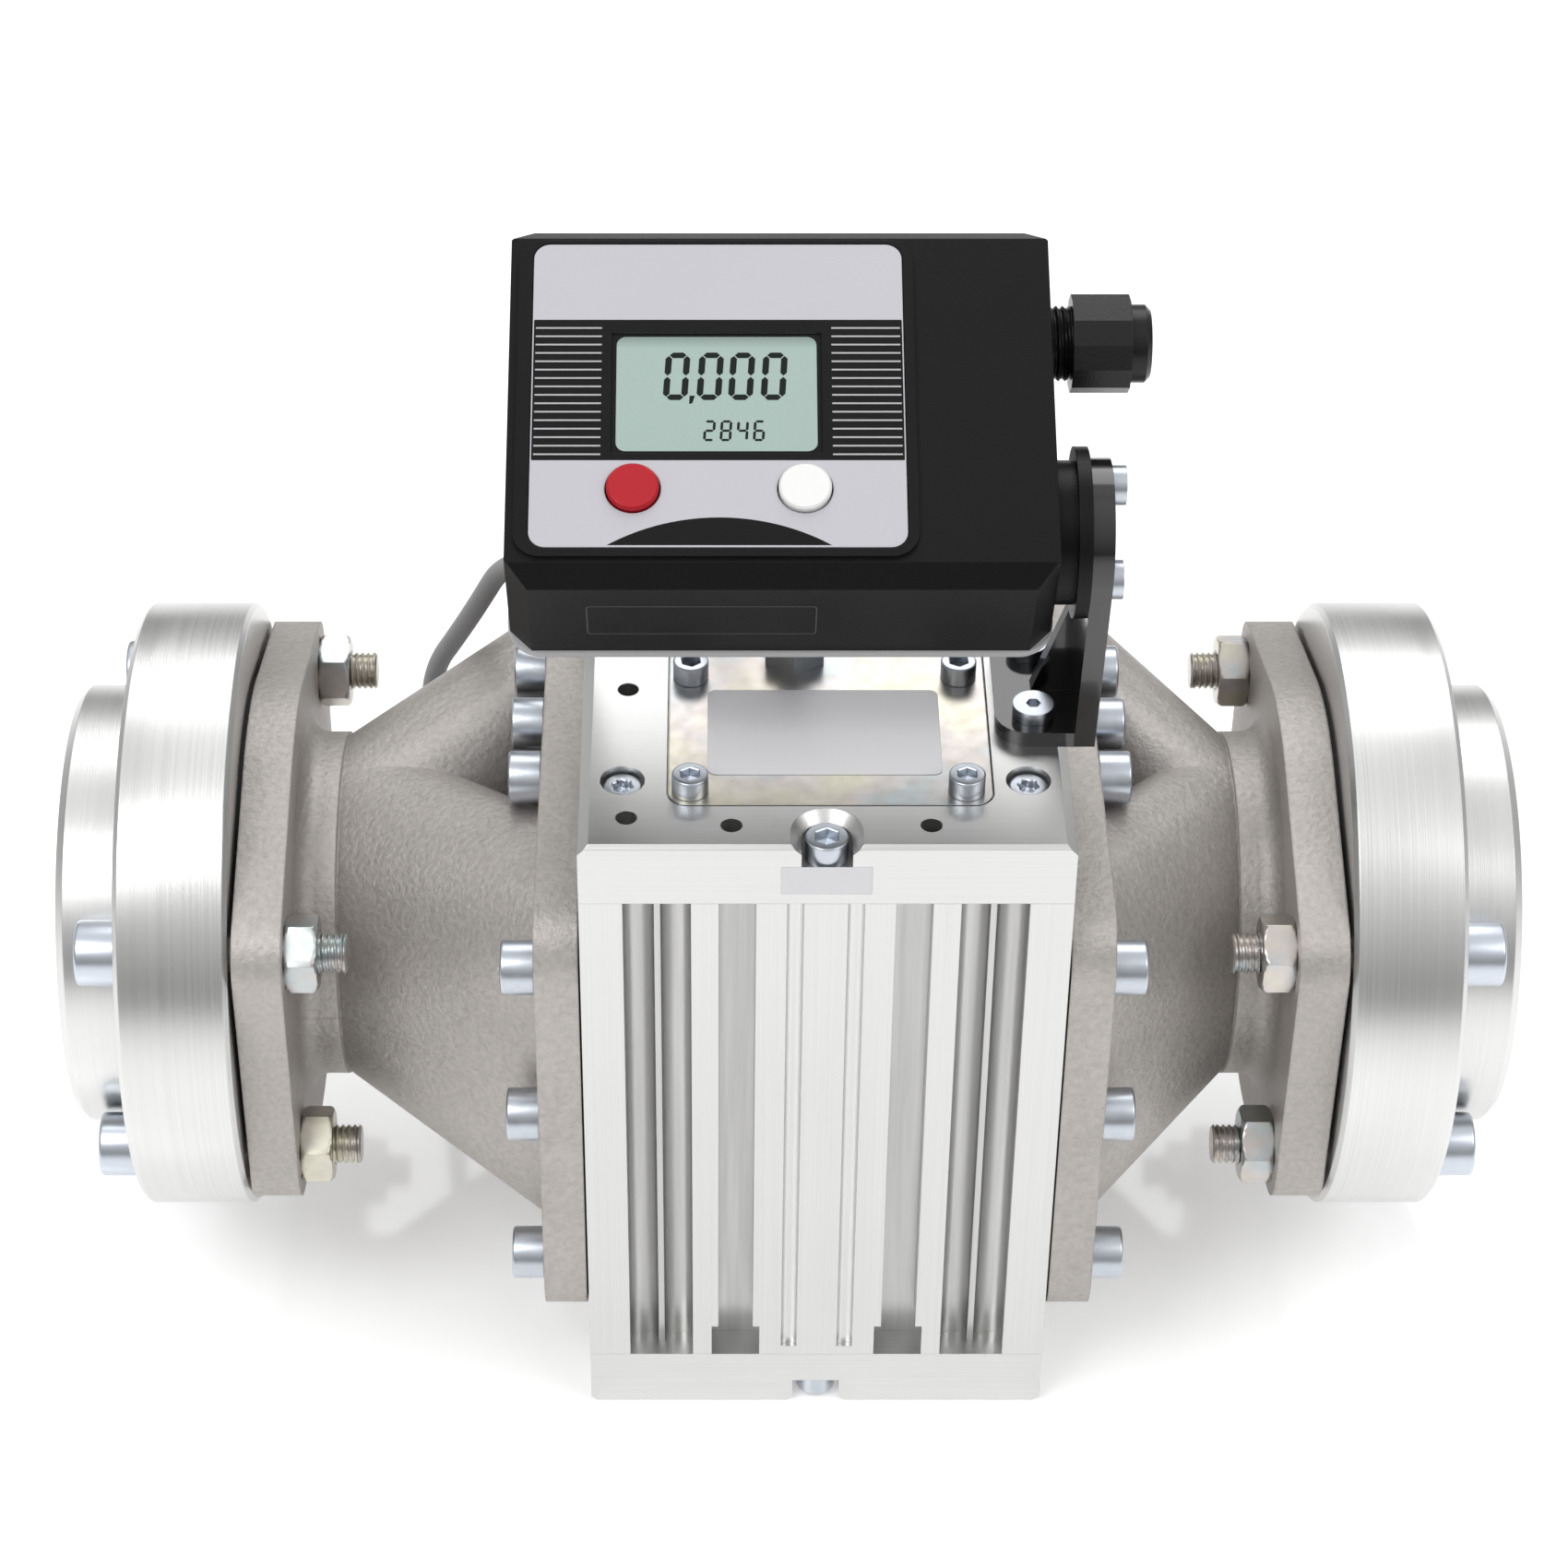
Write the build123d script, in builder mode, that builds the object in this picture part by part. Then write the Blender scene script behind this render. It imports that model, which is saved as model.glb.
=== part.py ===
from build123d import *
from math import cos, hypot, pi, radians, sin, tan
import os

os.makedirs("parts", exist_ok=True)

# Flow meter for diesel fuel, in millimetres. Fuel runs along X, from the inlet at -X to the
# outlet at +X. Y points to the back and Z up. The origin is on the floor under the case.

# Case: one extrusion with two figure-eight chambers, closed by a plate above and below.
body_width = 114.0
body_depth = 176.0
case_height = 150.0
plate_thickness = 17.0
plate_edge_chamfer = 1.0
plate_side_chamfer = 2.5
base_corner_chamfer = 1.5

wide_groove_edge = 10.1
wide_groove_width = 15.8
wide_groove_depth = 5.0
round_channel_radius = 3.6
round_channel_depth = 8.0
deep_groove_inner = 16.1
deep_groove_outer = 24.7
deep_groove_depth = 8.0
deep_groove_step_width = 1.7
deep_groove_step_height = 10.0
flute_position = 7.0
flute_radius = 2.2
flute_depth = 1.3
flute_run_out = 3.0

# Rotors: two-lobed, rolled outlines on four fixed shafts. Their size follows the case's walls.
chamber_end_wall = 10.7
chamber_middle_wall = 13.4
rotor_mesh_clearance = 0.15
rotor_tip_clearance = 0.3
rotor_end_clearance = 0.3
rotor_outline_steps = 10
shaft_radius = 4.0
shaft_clearance = 0.05
shaft_socket_depth = 3.5
magnet_radius = 3.0
magnet_length = 4.0
magnet_offset = 12.0
port_width = 22.0
port_height = 90.0
port_corner_radius = 8.0

# Cast manifolds on the two sides, split into two arms each.
gasket_thickness = 0.5
manifold_plate_thickness = 10.5
manifold_plate_height = 130.0
manifold_plate_corner = 15.0
arm_inner = 14.0
arm_head_gap = 0.5
arm_height = 108.0
arm_corner_radius = 22.0
neck_radius = 44.0
neck_length = 10.0
passage_radius = 35.0
neck_fillet = 5.0
neck_step = 1.0
loft_flat = 1.0
inlet_flange_face = 142.4
outlet_flange_face = 127.4
casting_flange_thickness = 12.0
casting_flange_centre_radius = 61.0
casting_flange_ear_radius = 13.0
flange_bolt_half_span_y = 56.3
flange_bolt_half_span_z = 32.0

# Turned pipe flanges with a parallel three inch female thread, drawn at its minor size.
flange_gasket_thickness = 1.0
flange_gasket_inset = 2.0
flange_gasket_bolt_gap = 5.0
port_gasket_inset = 2.0
disc_radius = 77.1
disc_thickness = 27.5
hub_radius = 56.0
hub_length = 17.1
pipe_thread_radius = 42.5
pipe_thread_length = 27.0
disc_edge_chamfer = 1.2
hub_edge_chamfer = 2.0

# Screws: shank radius, head radius, head height, socket across flats, socket depth.
flange_bolt = (5.0, 8.0, 10.0, 8.0, 5.0)
manifold_screw = (4.0, 6.5, 8.0, 6.0, 4.0)
tie_screw = (3.0, 5.0, 6.0, 5.0, 3.0)
cover_screw = (2.5, 4.25, 5.0, 4.0, 2.5)
plate_screw = (2.5, 4.55, 4.0, 3.2, 2.0)
bracket_screw = (2.5, 4.85, 3.2, 3.0, 1.8)
pivot_screw = (2.5, 4.5, 3.3, 4.0, 2.0)
back_screw = (1.5, 2.75, 1.2, 2.0, 0.8)
back_screw_depth = 10.0
hole_clearance = 0.25
flange_nut_across_flats = 17.0
flange_nut_height = 8.0
flange_bolt_protrusion = 7.0
manifold_screw_depth = 10.0
manifold_column_inset = 9.0
manifold_column_pitch = 47.5
manifold_row_pitch = 21.4
manifold_row_z = 58.5
plate_screw_depth = 12.0
plate_screw_side_inset = 10.0
plate_screw_end_inset = 24.0
plate_recess_radius = 5.2
plate_recess_depth = 5.5
tie_screw_inset = 5.5
tie_recess_radius = 5.85
tie_recess_depth = 7.3
tapped_hole_radius = 2.5
# Tapped holes in the top plate: x, distance from the front edge, and depth.
tapped_holes = ((-46.2, 58.4, 10.0), (-45.9, 10.4, 11.0), (-21.8, 7.7, 12.0), (23.9, 7.7, 13.0))

# Flush sensor cover in the top plate, with the signal gland on it.
cover_left_margin = 20.7
cover_right_margin = 18.5
cover_front_margin = 15.0
cover_back = -6.0
cover_thickness = 3.0
cover_corner_radius = 4.5
cover_gap = 0.4
cover_screw_left_inset = 5.0
cover_screw_right_inset = 6.0
cover_screw_front_inset = 5.4
cover_screw_back_inset = 18.6
cover_screw_depth = 8.0
sensor_cavity_depth = 10.0
sensor_cavity_width = 48.0
sensor_cavity_margin = 26.0
sensor_cavity_back = -9.0
board_thickness = 1.6
board_edge_gap = 1.0
sensor_chip_size = (4.0, 3.0)
sensor_processor_width = 9.0
sensor_chip_height = 1.4
signal_gland_point = (-6.5, -16.0)
signal_gland_across_flats = 14.0
signal_gland_hex_height = 6.0
signal_gland_neck_radius = 5.2
signal_gland_height = 10.0

# Side bracket and display pivot.
foot_inner = 40.0
foot_front = -51.5
foot_back = -12.0
foot_thickness = 4.0
foot_corner_radius = 8.0
bracket_outer = 63.2
bracket_thickness = 4.9
bracket_back_root = -20.0
bracket_root_height = 8.0
bracket_disc_radius = 17.0
gusset_thickness = 4.0
gusset_height = 28.0
gusset_y = -33.0
bracket_screw_x = 49.0
bracket_screw_y = (-44.0, -20.0)
bracket_screw_depth = 9.0
pivot_y = -47.4
pivot_z = 242.5
spigot_radius = 7.9 / 2
spigot_clearance = 0.05
slot_arc_radius = 11.0
slot_width = 5.8
slot_end_margin = 3.0
tilt_forward = 10.0
tilt_back = 35.0
friction_gap = 0.2
pivot_screw_angle = 70.0
pivot_screw_end_gap = 1.0

# Display, laid out in the plane of its face. Depths count inwards from the face.
rest_tilt = 25.0
display_centre_x = -10.75
display_width = 122.5
display_height = 93.5
display_depth = 33.0
long_edge_chamfer = 4.5
corner_cut = 5.0
housing_wall = 2.5
face_wall = 3.0
pivot_drop = 24.0
pivot_depth = 19.0
back_plate_thickness = 2.0
back_plate_lip = 0.6
back_plate_corner = 8.0
frame_left = -70.2
frame_right = 19.5
frame_height = 82.5
frame_rise = 1.0
frame_corner = 6.0
overlay_left = -66.7
overlay_right = 16.9
overlay_bottom = -39.0
overlay_top = 40.0
overlay_corner_radius = 4.0
overlay_thickness = 0.8
overlay_gap = 0.2
overlay_drop = 0.1
window_left = -49.1
window_right = -1.3
window_bottom = -15.5
window_top = 16.8
window_gap = 0.2
lens_drop = 0.6
lcd_margin_x = 4.0
lcd_margin_y = 1.0
lcd_thickness = 5.0
button_y = -24.2
reset_button_x = -43.8
cal_button_x = -5.6
button_radius = 5.9
button_gap = 0.35
button_rise = 1.4
button_flange_width = 1.2
button_flange_thickness = 1.2
button_travel = 1.0
board_depth = 12.0
switch_width = 6.0
switch_gap = 0.5
chip_points = ((34.0, 20.0), (34.0, 4.0), (42.0, -18.0))
chip_width = 9.0
chip_height = 2.0
board_side_gap = 3.0
post_radius = 3.0
post_inset = 6.2
battery_radius = 8.5
battery_length = 34.0
battery_gap = 0.6
battery_y = 20.0
hub_inner_radius = 16.3
hub_inner_length = 4.5
hub_disc_radius = 19.4
side_gland_y = 23.5
side_gland_depth = 15.0
side_gland_neck_radius = 7.2
side_gland_thread_radius = 8.75
side_gland_thread_length = 5.5
side_gland_nut_radius = 11.3
side_gland_nut_length = 13.4
side_gland_ring_radius = 9.0
side_gland_ring_length = 4.8
side_gland_bore = 4.0
side_gland_bore_length = 20.0
side_gland_nut_facets = 12
boot_x = -56.0
boot_radius = 13.7
boot_reach = 28.0

# Signal cable, with points chosen by hand between the signal gland and the boot.
cable_diameter = 5.5
cable_points = [
    (-6.5, -16.0, 194.0),
    (-6.5, -16.0, 207.0),
    (-9.0, -8.0, 220.0),
    (-14.0, 6.0, 227.0),
    (-22.0, 27.0, 226.0),
    (-29.0, 50.0, 220.0),
    (-37.0, 75.0, 208.0),
    (-45.0, 98.0, 190.0),
    (-52.0, 113.0, 166.0),
    (-57.0, 120.5, 142.0),
    (-60.5, 124.0, 117.0),
    (-62.0, 124.5, 92.0),
    (-64.0, 123.0, 68.5),
    (-69.2, 119.1, 57.2),
    (-78.3, 112.4, 50.7),
    (-88.7, 104.6, 50.7),
    (-97.8, 97.9, 57.2),
    (-103.0, 94.0, 68.5),
    (-104.0, 88.5, 90.0),
    (-100.5, 78.5, 110.0),
    (-94.5, 66.5, 127.0),
    (-87.0, 50.0, 150.0),
    (-77.7, 27.1, 181.3),
    (-64.0, 3.0, 194.0),
    (-56.0, -19.2, 205.8),
    (-56.0, -30.2, 220.1),
]
cable_fillet_share = 0.45

# Heights and faces worked out from the sizes above.
case_bottom = plate_thickness
case_top = case_bottom + case_height
plate_top = case_top + plate_thickness
axis_height = case_bottom + case_height / 2
front_y = -body_depth / 2
side_x = body_width / 2
# From the middle to the end wall lie five pitch radii: a lobe outside each rotor's pitch circle
# takes half of one at either end of the pair.
chamber_span = body_depth / 2 - chamber_end_wall - chamber_middle_wall / 2
pitch_radius = (chamber_span - 2 * rotor_tip_clearance) / 5
rolling_radius = pitch_radius / 4
chamber_radius = pitch_radius + 2 * rolling_radius + rotor_tip_clearance
chamber_pair_offset = chamber_middle_wall / 2 + chamber_radius + pitch_radius
rotor_axes = [
    module * chamber_pair_offset + step * pitch_radius
    for module in (-1, 1)
    for step in (-1, 1)
]
manifold_plate_inner = side_x + gasket_thickness
manifold_plate_outer = manifold_plate_inner + manifold_plate_thickness
manifold_column_y = body_depth / 2 - manifold_column_inset
arm_outer = manifold_column_y - manifold_screw[1] - arm_head_gap
arm_centre = (arm_inner + arm_outer) / 2
arm_width = arm_outer - arm_inner
wide_groove_centre = side_x - wide_groove_edge - wide_groove_width / 2
plate_screw_x = side_x - plate_screw_side_inset
plate_screw_y = body_depth / 2 - plate_screw_end_inset
cover_left = cover_left_margin - side_x
cover_right = side_x - cover_right_margin
cover_front = front_y + cover_front_margin
cover_screw_x = (cover_left + cover_screw_left_inset, cover_right - cover_screw_right_inset)
cover_screw_y = (cover_front + cover_screw_front_inset, cover_back - cover_screw_back_inset)
sensor_cavity_front = front_y + sensor_cavity_margin
bracket_inner = bracket_outer - bracket_thickness
display_side_x = display_centre_x + display_width / 2


def pipe_plane(x):
    # Plane across the pipe axis at x, with Y to the right and Z up.
    return Plane((x, 0, axis_height), x_dir=(0, 1, 0), z_dir=(1, 0, 0))


def pivot_plane(x):
    # Plane across the display's pivot axis at x.
    return Plane((x, pivot_y, pivot_z), x_dir=(0, 1, 0), z_dir=(1, 0, 0))


tilt_sine = sin(radians(rest_tilt))
tilt_cosine = cos(radians(rest_tilt))
face_origin = (
    display_centre_x,
    pivot_y + pivot_drop * tilt_cosine - pivot_depth * tilt_sine,
    pivot_z + pivot_drop * tilt_sine + pivot_depth * tilt_cosine,
)
face_plane = Plane(face_origin, x_dir=(1, 0, 0), z_dir=(0, -tilt_sine, tilt_cosine))


def below_face(depth):
    # Plane parallel to the display's face, this far under it.
    return face_plane.offset(-depth)


def on_face(x, y):
    # Point in the face's own plane, from the shared x and the height up the face.
    return (x - display_centre_x, y)


def save(piece, name):
    # Label a finished piece and write its file.
    piece.label = name
    export_step(piece, f"parts/{name}.step")


def screw(plane, sizes, length):
    # One socket screw: its head stands on the plane, its shank runs against the plane's normal.
    shank_radius, head_radius, head_height, socket_flats, socket_depth = sizes
    with BuildPart() as fastener:
        with BuildSketch(plane):
            Circle(head_radius)
        extrude(amount=head_height)
        with BuildSketch(plane.offset(head_height)):
            RegularPolygon(socket_flats / 2, 6, major_radius=False)
        extrude(amount=-socket_depth, mode=Mode.SUBTRACT)
        with BuildSketch(plane):
            Circle(shank_radius)
        extrude(amount=-length)
    return fastener.part


def group(solids):
    # Identical separate pieces in one node.
    return Part() + Compound(children=list(solids))


def manifold_screw_points():
    # Screws stand in a column at each end and in a row above and below.
    columns = [
        (end * manifold_column_y, row * manifold_column_pitch)
        for end in (-1, 1)
        for row in (-1, 0, 1)
    ]
    rows = [
        (step * manifold_row_pitch, end * manifold_row_z)
        for end in (-1, 1)
        for step in (-1, 0, 1)
    ]
    return columns + rows


# Case: the extruded block with grooved front and back faces.
with BuildPart() as meter_case:
    with BuildSketch(Plane.XY.offset(case_bottom)):
        Rectangle(body_width, body_depth)
        for end in (-1, 1):
            for side in (-1, 1):
                groove_centre = side * wide_groove_centre
                channel_offset = wide_groove_width / 2 - round_channel_radius
                with Locations((groove_centre, end * body_depth / 2)):
                    Rectangle(wide_groove_width, 2 * wide_groove_depth, mode=Mode.SUBTRACT)
                channel_y = end * (body_depth / 2 - round_channel_depth + round_channel_radius)
                with Locations(
                    (groove_centre - channel_offset, channel_y),
                    (groove_centre + channel_offset, channel_y),
                ):
                    Circle(round_channel_radius, mode=Mode.SUBTRACT)
                deep_centre = side * (deep_groove_inner + deep_groove_outer) / 2
                with Locations((deep_centre, end * body_depth / 2)):
                    Rectangle(
                        deep_groove_outer - deep_groove_inner,
                        2 * deep_groove_depth,
                        mode=Mode.SUBTRACT,
                    )
        with Locations(*[(0, y) for y in rotor_axes]):
            Circle(chamber_radius, mode=Mode.SUBTRACT)
    extrude(amount=case_height)
    # Deep grooves are milled wider at the foot.
    with BuildSketch(Plane.XY.offset(case_bottom)):
        for end in (-1, 1):
            for side in (-1, 1):
                deep_centre = side * (deep_groove_inner + deep_groove_outer) / 2
                with Locations((deep_centre, end * body_depth / 2)):
                    Rectangle(
                        deep_groove_outer - deep_groove_inner + 2 * deep_groove_step_width,
                        2 * deep_groove_depth,
                    )
    extrude(amount=deep_groove_step_height, mode=Mode.SUBTRACT)
    # Shallow round flutes on the middle rib stop just above the foot.
    with BuildSketch(Plane.XY.offset(case_bottom + flute_run_out)):
        for end in (-1, 1):
            flute_y = end * (body_depth / 2 - flute_depth + flute_radius)
            with Locations((-flute_position, flute_y), (flute_position, flute_y)):
                Circle(flute_radius)
    extrude(amount=case_height, mode=Mode.SUBTRACT)
    # Fuel ports cross the waist of both chambers.
    with BuildSketch(pipe_plane(-side_x)):
        with Locations((-chamber_pair_offset, 0), (chamber_pair_offset, 0)):
            RectangleRounded(port_width, port_height, port_corner_radius)
    extrude(amount=body_width, mode=Mode.SUBTRACT)
    # Blind holes for the screws of both manifolds.
    for side in (-1, 1):
        with BuildSketch(pipe_plane(side * side_x)):
            with Locations(*manifold_screw_points()):
                Circle(manifold_screw[0])
        extrude(amount=-side * manifold_screw_depth, mode=Mode.SUBTRACT)
    # Blind holes for the screws of both plates.
    for level, direction in ((case_top, -1), (case_bottom, 1)):
        with BuildSketch(Plane.XY.offset(level)):
            with GridLocations(2 * plate_screw_x, 2 * plate_screw_y, 2, 2):
                Circle(plate_screw[0])
            with GridLocations(0, body_depth - 2 * tie_screw_inset, 1, 2):
                Circle(tie_screw[0])
        extrude(amount=direction * plate_screw_depth, mode=Mode.SUBTRACT)
save(meter_case.part, "meter_case")


def closing_plate(level, outward):
    # Plate with its recesses for the corner screws and the open notches at front and back.
    with BuildPart() as plate:
        with BuildSketch(Plane.XY.offset(level)):
            Rectangle(body_width, body_depth)
        extrude(amount=outward * plate_thickness)
        outer_level = level + outward * plate_thickness
        with BuildSketch(Plane.XY.offset(outer_level)):
            with GridLocations(2 * plate_screw_x, 2 * plate_screw_y, 2, 2):
                Circle(plate_recess_radius)
        extrude(amount=-outward * plate_recess_depth, mode=Mode.SUBTRACT)
        with BuildSketch(Plane.XY.offset(outer_level)):
            with GridLocations(0, body_depth - 2 * tie_screw_inset, 1, 2):
                Circle(tie_recess_radius)
            with GridLocations(0, body_depth, 1, 2):
                Rectangle(2 * tie_recess_radius, 2 * tie_screw_inset)
        extrude(amount=-outward * tie_recess_depth, mode=Mode.SUBTRACT)
        with BuildSketch(Plane.XY.offset(outer_level)):
            with GridLocations(2 * plate_screw_x, 2 * plate_screw_y, 2, 2):
                Circle(plate_screw[0] + hole_clearance)
            with GridLocations(0, body_depth - 2 * tie_screw_inset, 1, 2):
                Circle(tie_screw[0] + hole_clearance)
        extrude(amount=-outward * plate_thickness, mode=Mode.SUBTRACT)
        with BuildSketch(Plane.XY.offset(level)):
            with Locations(*[(0, y) for y in rotor_axes]):
                Circle(shaft_radius)
        extrude(amount=outward * shaft_socket_depth, mode=Mode.SUBTRACT)
    return plate.part


# Top plate, with the flush seat of the sensor cover and the tapped holes.
with BuildPart() as top_plate:
    add(closing_plate(case_top, 1))
    top_edges = top_plate.faces().filter_by(Axis.Z).sort_by(Axis.Z)[-1].outer_wire().edges()
    chamfer(top_edges.filter_by(Axis.Y), plate_side_chamfer)
    chamfer(
        top_plate.edges().filter_by(Axis.X).filter_by_position(
            Axis.Z, plate_top - 0.01, plate_top + 0.01
        ).filter_by_position(Axis.Y, front_y - 0.01, front_y + 0.01),
        plate_edge_chamfer,
    )
    with BuildSketch(Plane.XY.offset(plate_top)):
        with Locations(((cover_left + cover_right) / 2, (cover_front + cover_back) / 2)):
            RectangleRounded(
                cover_right - cover_left + 2 * cover_gap,
                cover_back - cover_front + 2 * cover_gap,
                cover_corner_radius + cover_gap,
            )
    extrude(amount=-cover_thickness, mode=Mode.SUBTRACT)
    with BuildSketch(Plane.XY.offset(plate_top - cover_thickness)):
        with Locations((0, (sensor_cavity_front + sensor_cavity_back) / 2)):
            Rectangle(sensor_cavity_width, sensor_cavity_back - sensor_cavity_front)
    extrude(amount=cover_thickness - sensor_cavity_depth, mode=Mode.SUBTRACT)
    with BuildSketch(Plane.XY.offset(plate_top - cover_thickness)):
        with Locations(*[(x, y) for x in cover_screw_x for y in cover_screw_y]):
            Circle(cover_screw[0])
    extrude(amount=-cover_screw_depth, mode=Mode.SUBTRACT)
    for x, inset, depth in tapped_holes:
        with BuildSketch(Plane.XY.offset(plate_top)):
            with Locations((x, front_y + inset)):
                Circle(tapped_hole_radius)
        extrude(amount=-depth, mode=Mode.SUBTRACT)
    with BuildSketch(Plane.XY.offset(plate_top)):
        with Locations(*[(bracket_screw_x, y) for y in bracket_screw_y]):
            Circle(bracket_screw[0])
    extrude(amount=-bracket_screw_depth, mode=Mode.SUBTRACT)
save(top_plate.part, "top_plate")

with BuildPart() as bottom_plate:
    add(closing_plate(case_bottom, -1))
    chamfer(
        bottom_plate.faces().filter_by(Axis.Z).sort_by(Axis.Z)[0].outer_wire().edges().filter_by(Axis.Y),
        base_corner_chamfer,
    )
save(bottom_plate.part, "bottom_plate")

# Screws of the two plates.
plate_screw_length = plate_thickness - plate_recess_depth + plate_screw_depth
tie_screw_length = plate_thickness - tie_recess_depth + plate_screw_depth
plate_screws = []
tie_screws = []
for outward in (-1, 1):
    outer_level = case_top + plate_thickness if outward > 0 else 0.0
    corner_seat = outer_level - outward * plate_recess_depth
    tie_seat = outer_level - outward * tie_recess_depth
    for y_side in (-1, 1):
        for x_side in (-1, 1):
            seat = Plane((x_side * plate_screw_x, y_side * plate_screw_y, corner_seat), z_dir=(0, 0, outward))
            plate_screws.append(screw(seat, plate_screw, plate_screw_length))
        seat = Plane((0, y_side * (body_depth / 2 - tie_screw_inset), tie_seat), z_dir=(0, 0, outward))
        tie_screws.append(screw(seat, tie_screw, tie_screw_length))
save(group(plate_screws), "plate_screws")
save(group(tie_screws), "tie_screws")

# Fixed shafts that the rotors turn on.
with BuildPart() as shafts:
    with BuildSketch(Plane.XY.offset(case_bottom - shaft_socket_depth)):
        with Locations(*[(0, y) for y in rotor_axes]):
            Circle(shaft_radius)
    extrude(amount=case_height + 2 * shaft_socket_depth)
save(shafts.part, "shafts")


def rotor_outline(steps):
    # Lobes are rolled outside the pitch circle and waists inside it, then drawn in by the clearance.
    points = []
    for arch in range(4):
        side = 1 if arch % 2 == 0 else -1
        reach = pitch_radius + side * rolling_radius
        ratio = reach / rolling_radius
        for step in range(1, steps):
            turn = pi / 2 * (arch + step / steps)
            x = reach * cos(turn) - side * rolling_radius * cos(ratio * turn)
            y = reach * sin(turn) - rolling_radius * sin(ratio * turn)
            foot_x = pitch_radius * cos(turn)
            foot_y = pitch_radius * sin(turn)
            draw_in = side * rotor_mesh_clearance / hypot(foot_x - x, foot_y - y)
            points.append((x + (foot_x - x) * draw_in, y + (foot_y - y) * draw_in))
    return points


def rotor(y, quarter_turn):
    # One rotor, with its lobes along X or, after a quarter turn, along Y.
    with BuildPart() as wheel:
        with BuildSketch(Plane.XY.offset(case_bottom + rotor_end_clearance)):
            with BuildLine():
                Spline(*rotor_outline(rotor_outline_steps), periodic=True)
            make_face()
            Circle(shaft_radius + shaft_clearance, mode=Mode.SUBTRACT)
        extrude(amount=case_height - 2 * rotor_end_clearance)
    turned = Rot(0, 0, 90 * quarter_turn - 45) * wheel.part
    return Pos(0, y, 0) * turned


rotor_names = ("front_rotor", "front_partner", "rear_rotor", "rear_partner")
magnet_top = case_top - rotor_end_clearance
for index, (name, y) in enumerate(zip(rotor_names, rotor_axes)):
    quarter = index % 2
    body = rotor(y, quarter)
    if quarter == 0:
        with BuildPart() as magnets:
            with BuildSketch(Plane.XY.offset(magnet_top)):
                with Locations((-magnet_offset, y), (magnet_offset, y)):
                    Circle(magnet_radius)
            extrude(amount=-magnet_length)
        save(magnets.part, name + "_magnets")
        body = body - magnets.part
    save(body, name)


def manifold(flange_face):
    # Cast manifold for the +X side: plate, two arms, neck and pipe flange, with the fuel passages.
    casting_face = flange_face - flange_gasket_thickness
    flange_back = casting_face - casting_flange_thickness
    neck_start = flange_back - neck_length
    neck_reach = neck_radius - neck_step
    with BuildPart() as casting:
        with BuildSketch(pipe_plane(flange_back)):
            Circle(casting_flange_centre_radius)
            with GridLocations(2 * flange_bolt_half_span_y, 2 * flange_bolt_half_span_z, 2, 2):
                Circle(casting_flange_ear_radius)
            make_hull()
        extrude(amount=casting_flange_thickness)
        with BuildSketch(pipe_plane(neck_start)):
            Circle(neck_radius)
        extrude(amount=neck_length)
        neck_edge = casting.edges().filter_by(GeomType.CIRCLE).filter_by_position(
            Axis.X, flange_back - 0.01, flange_back + 0.01
        ).filter_by(lambda edge: abs(edge.radius - neck_radius) < 0.01)
        fillet(neck_edge, neck_fillet)
        with BuildSketch(pipe_plane(manifold_plate_inner)):
            RectangleRounded(body_depth, manifold_plate_height, manifold_plate_corner)
        extrude(amount=manifold_plate_outer - manifold_plate_inner)
        for side in (-1, 1):
            with BuildSketch(pipe_plane(manifold_plate_outer)):
                with Locations((side * arm_centre, 0)):
                    RectangleRounded(arm_width, arm_height, arm_corner_radius)
            with BuildSketch(pipe_plane(neck_start)):
                RectangleRounded(2 * neck_reach, 2 * neck_reach, neck_reach - loft_flat / 2)
            loft()
        for side in (-1, 1):
            with BuildSketch(pipe_plane(manifold_plate_inner)):
                with Locations((side * chamber_pair_offset, 0)):
                    RectangleRounded(port_width, port_height, port_corner_radius)
            with BuildSketch(pipe_plane(neck_start)):
                RectangleRounded(2 * passage_radius, 2 * passage_radius, passage_radius - loft_flat / 2)
            loft(mode=Mode.SUBTRACT)
        with BuildSketch(pipe_plane(neck_start)):
            Circle(passage_radius)
        extrude(amount=casting_face - neck_start, mode=Mode.SUBTRACT)
        with BuildSketch(pipe_plane(casting_face)):
            with GridLocations(2 * flange_bolt_half_span_y, 2 * flange_bolt_half_span_z, 2, 2):
                Circle(flange_bolt[0] + hole_clearance)
        extrude(amount=-casting_flange_thickness, mode=Mode.SUBTRACT)
        with BuildSketch(pipe_plane(manifold_plate_inner)):
            with Locations(*manifold_screw_points()):
                Circle(manifold_screw[0] + hole_clearance)
        extrude(amount=manifold_plate_outer - manifold_plate_inner, mode=Mode.SUBTRACT)
    return casting.part


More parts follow.
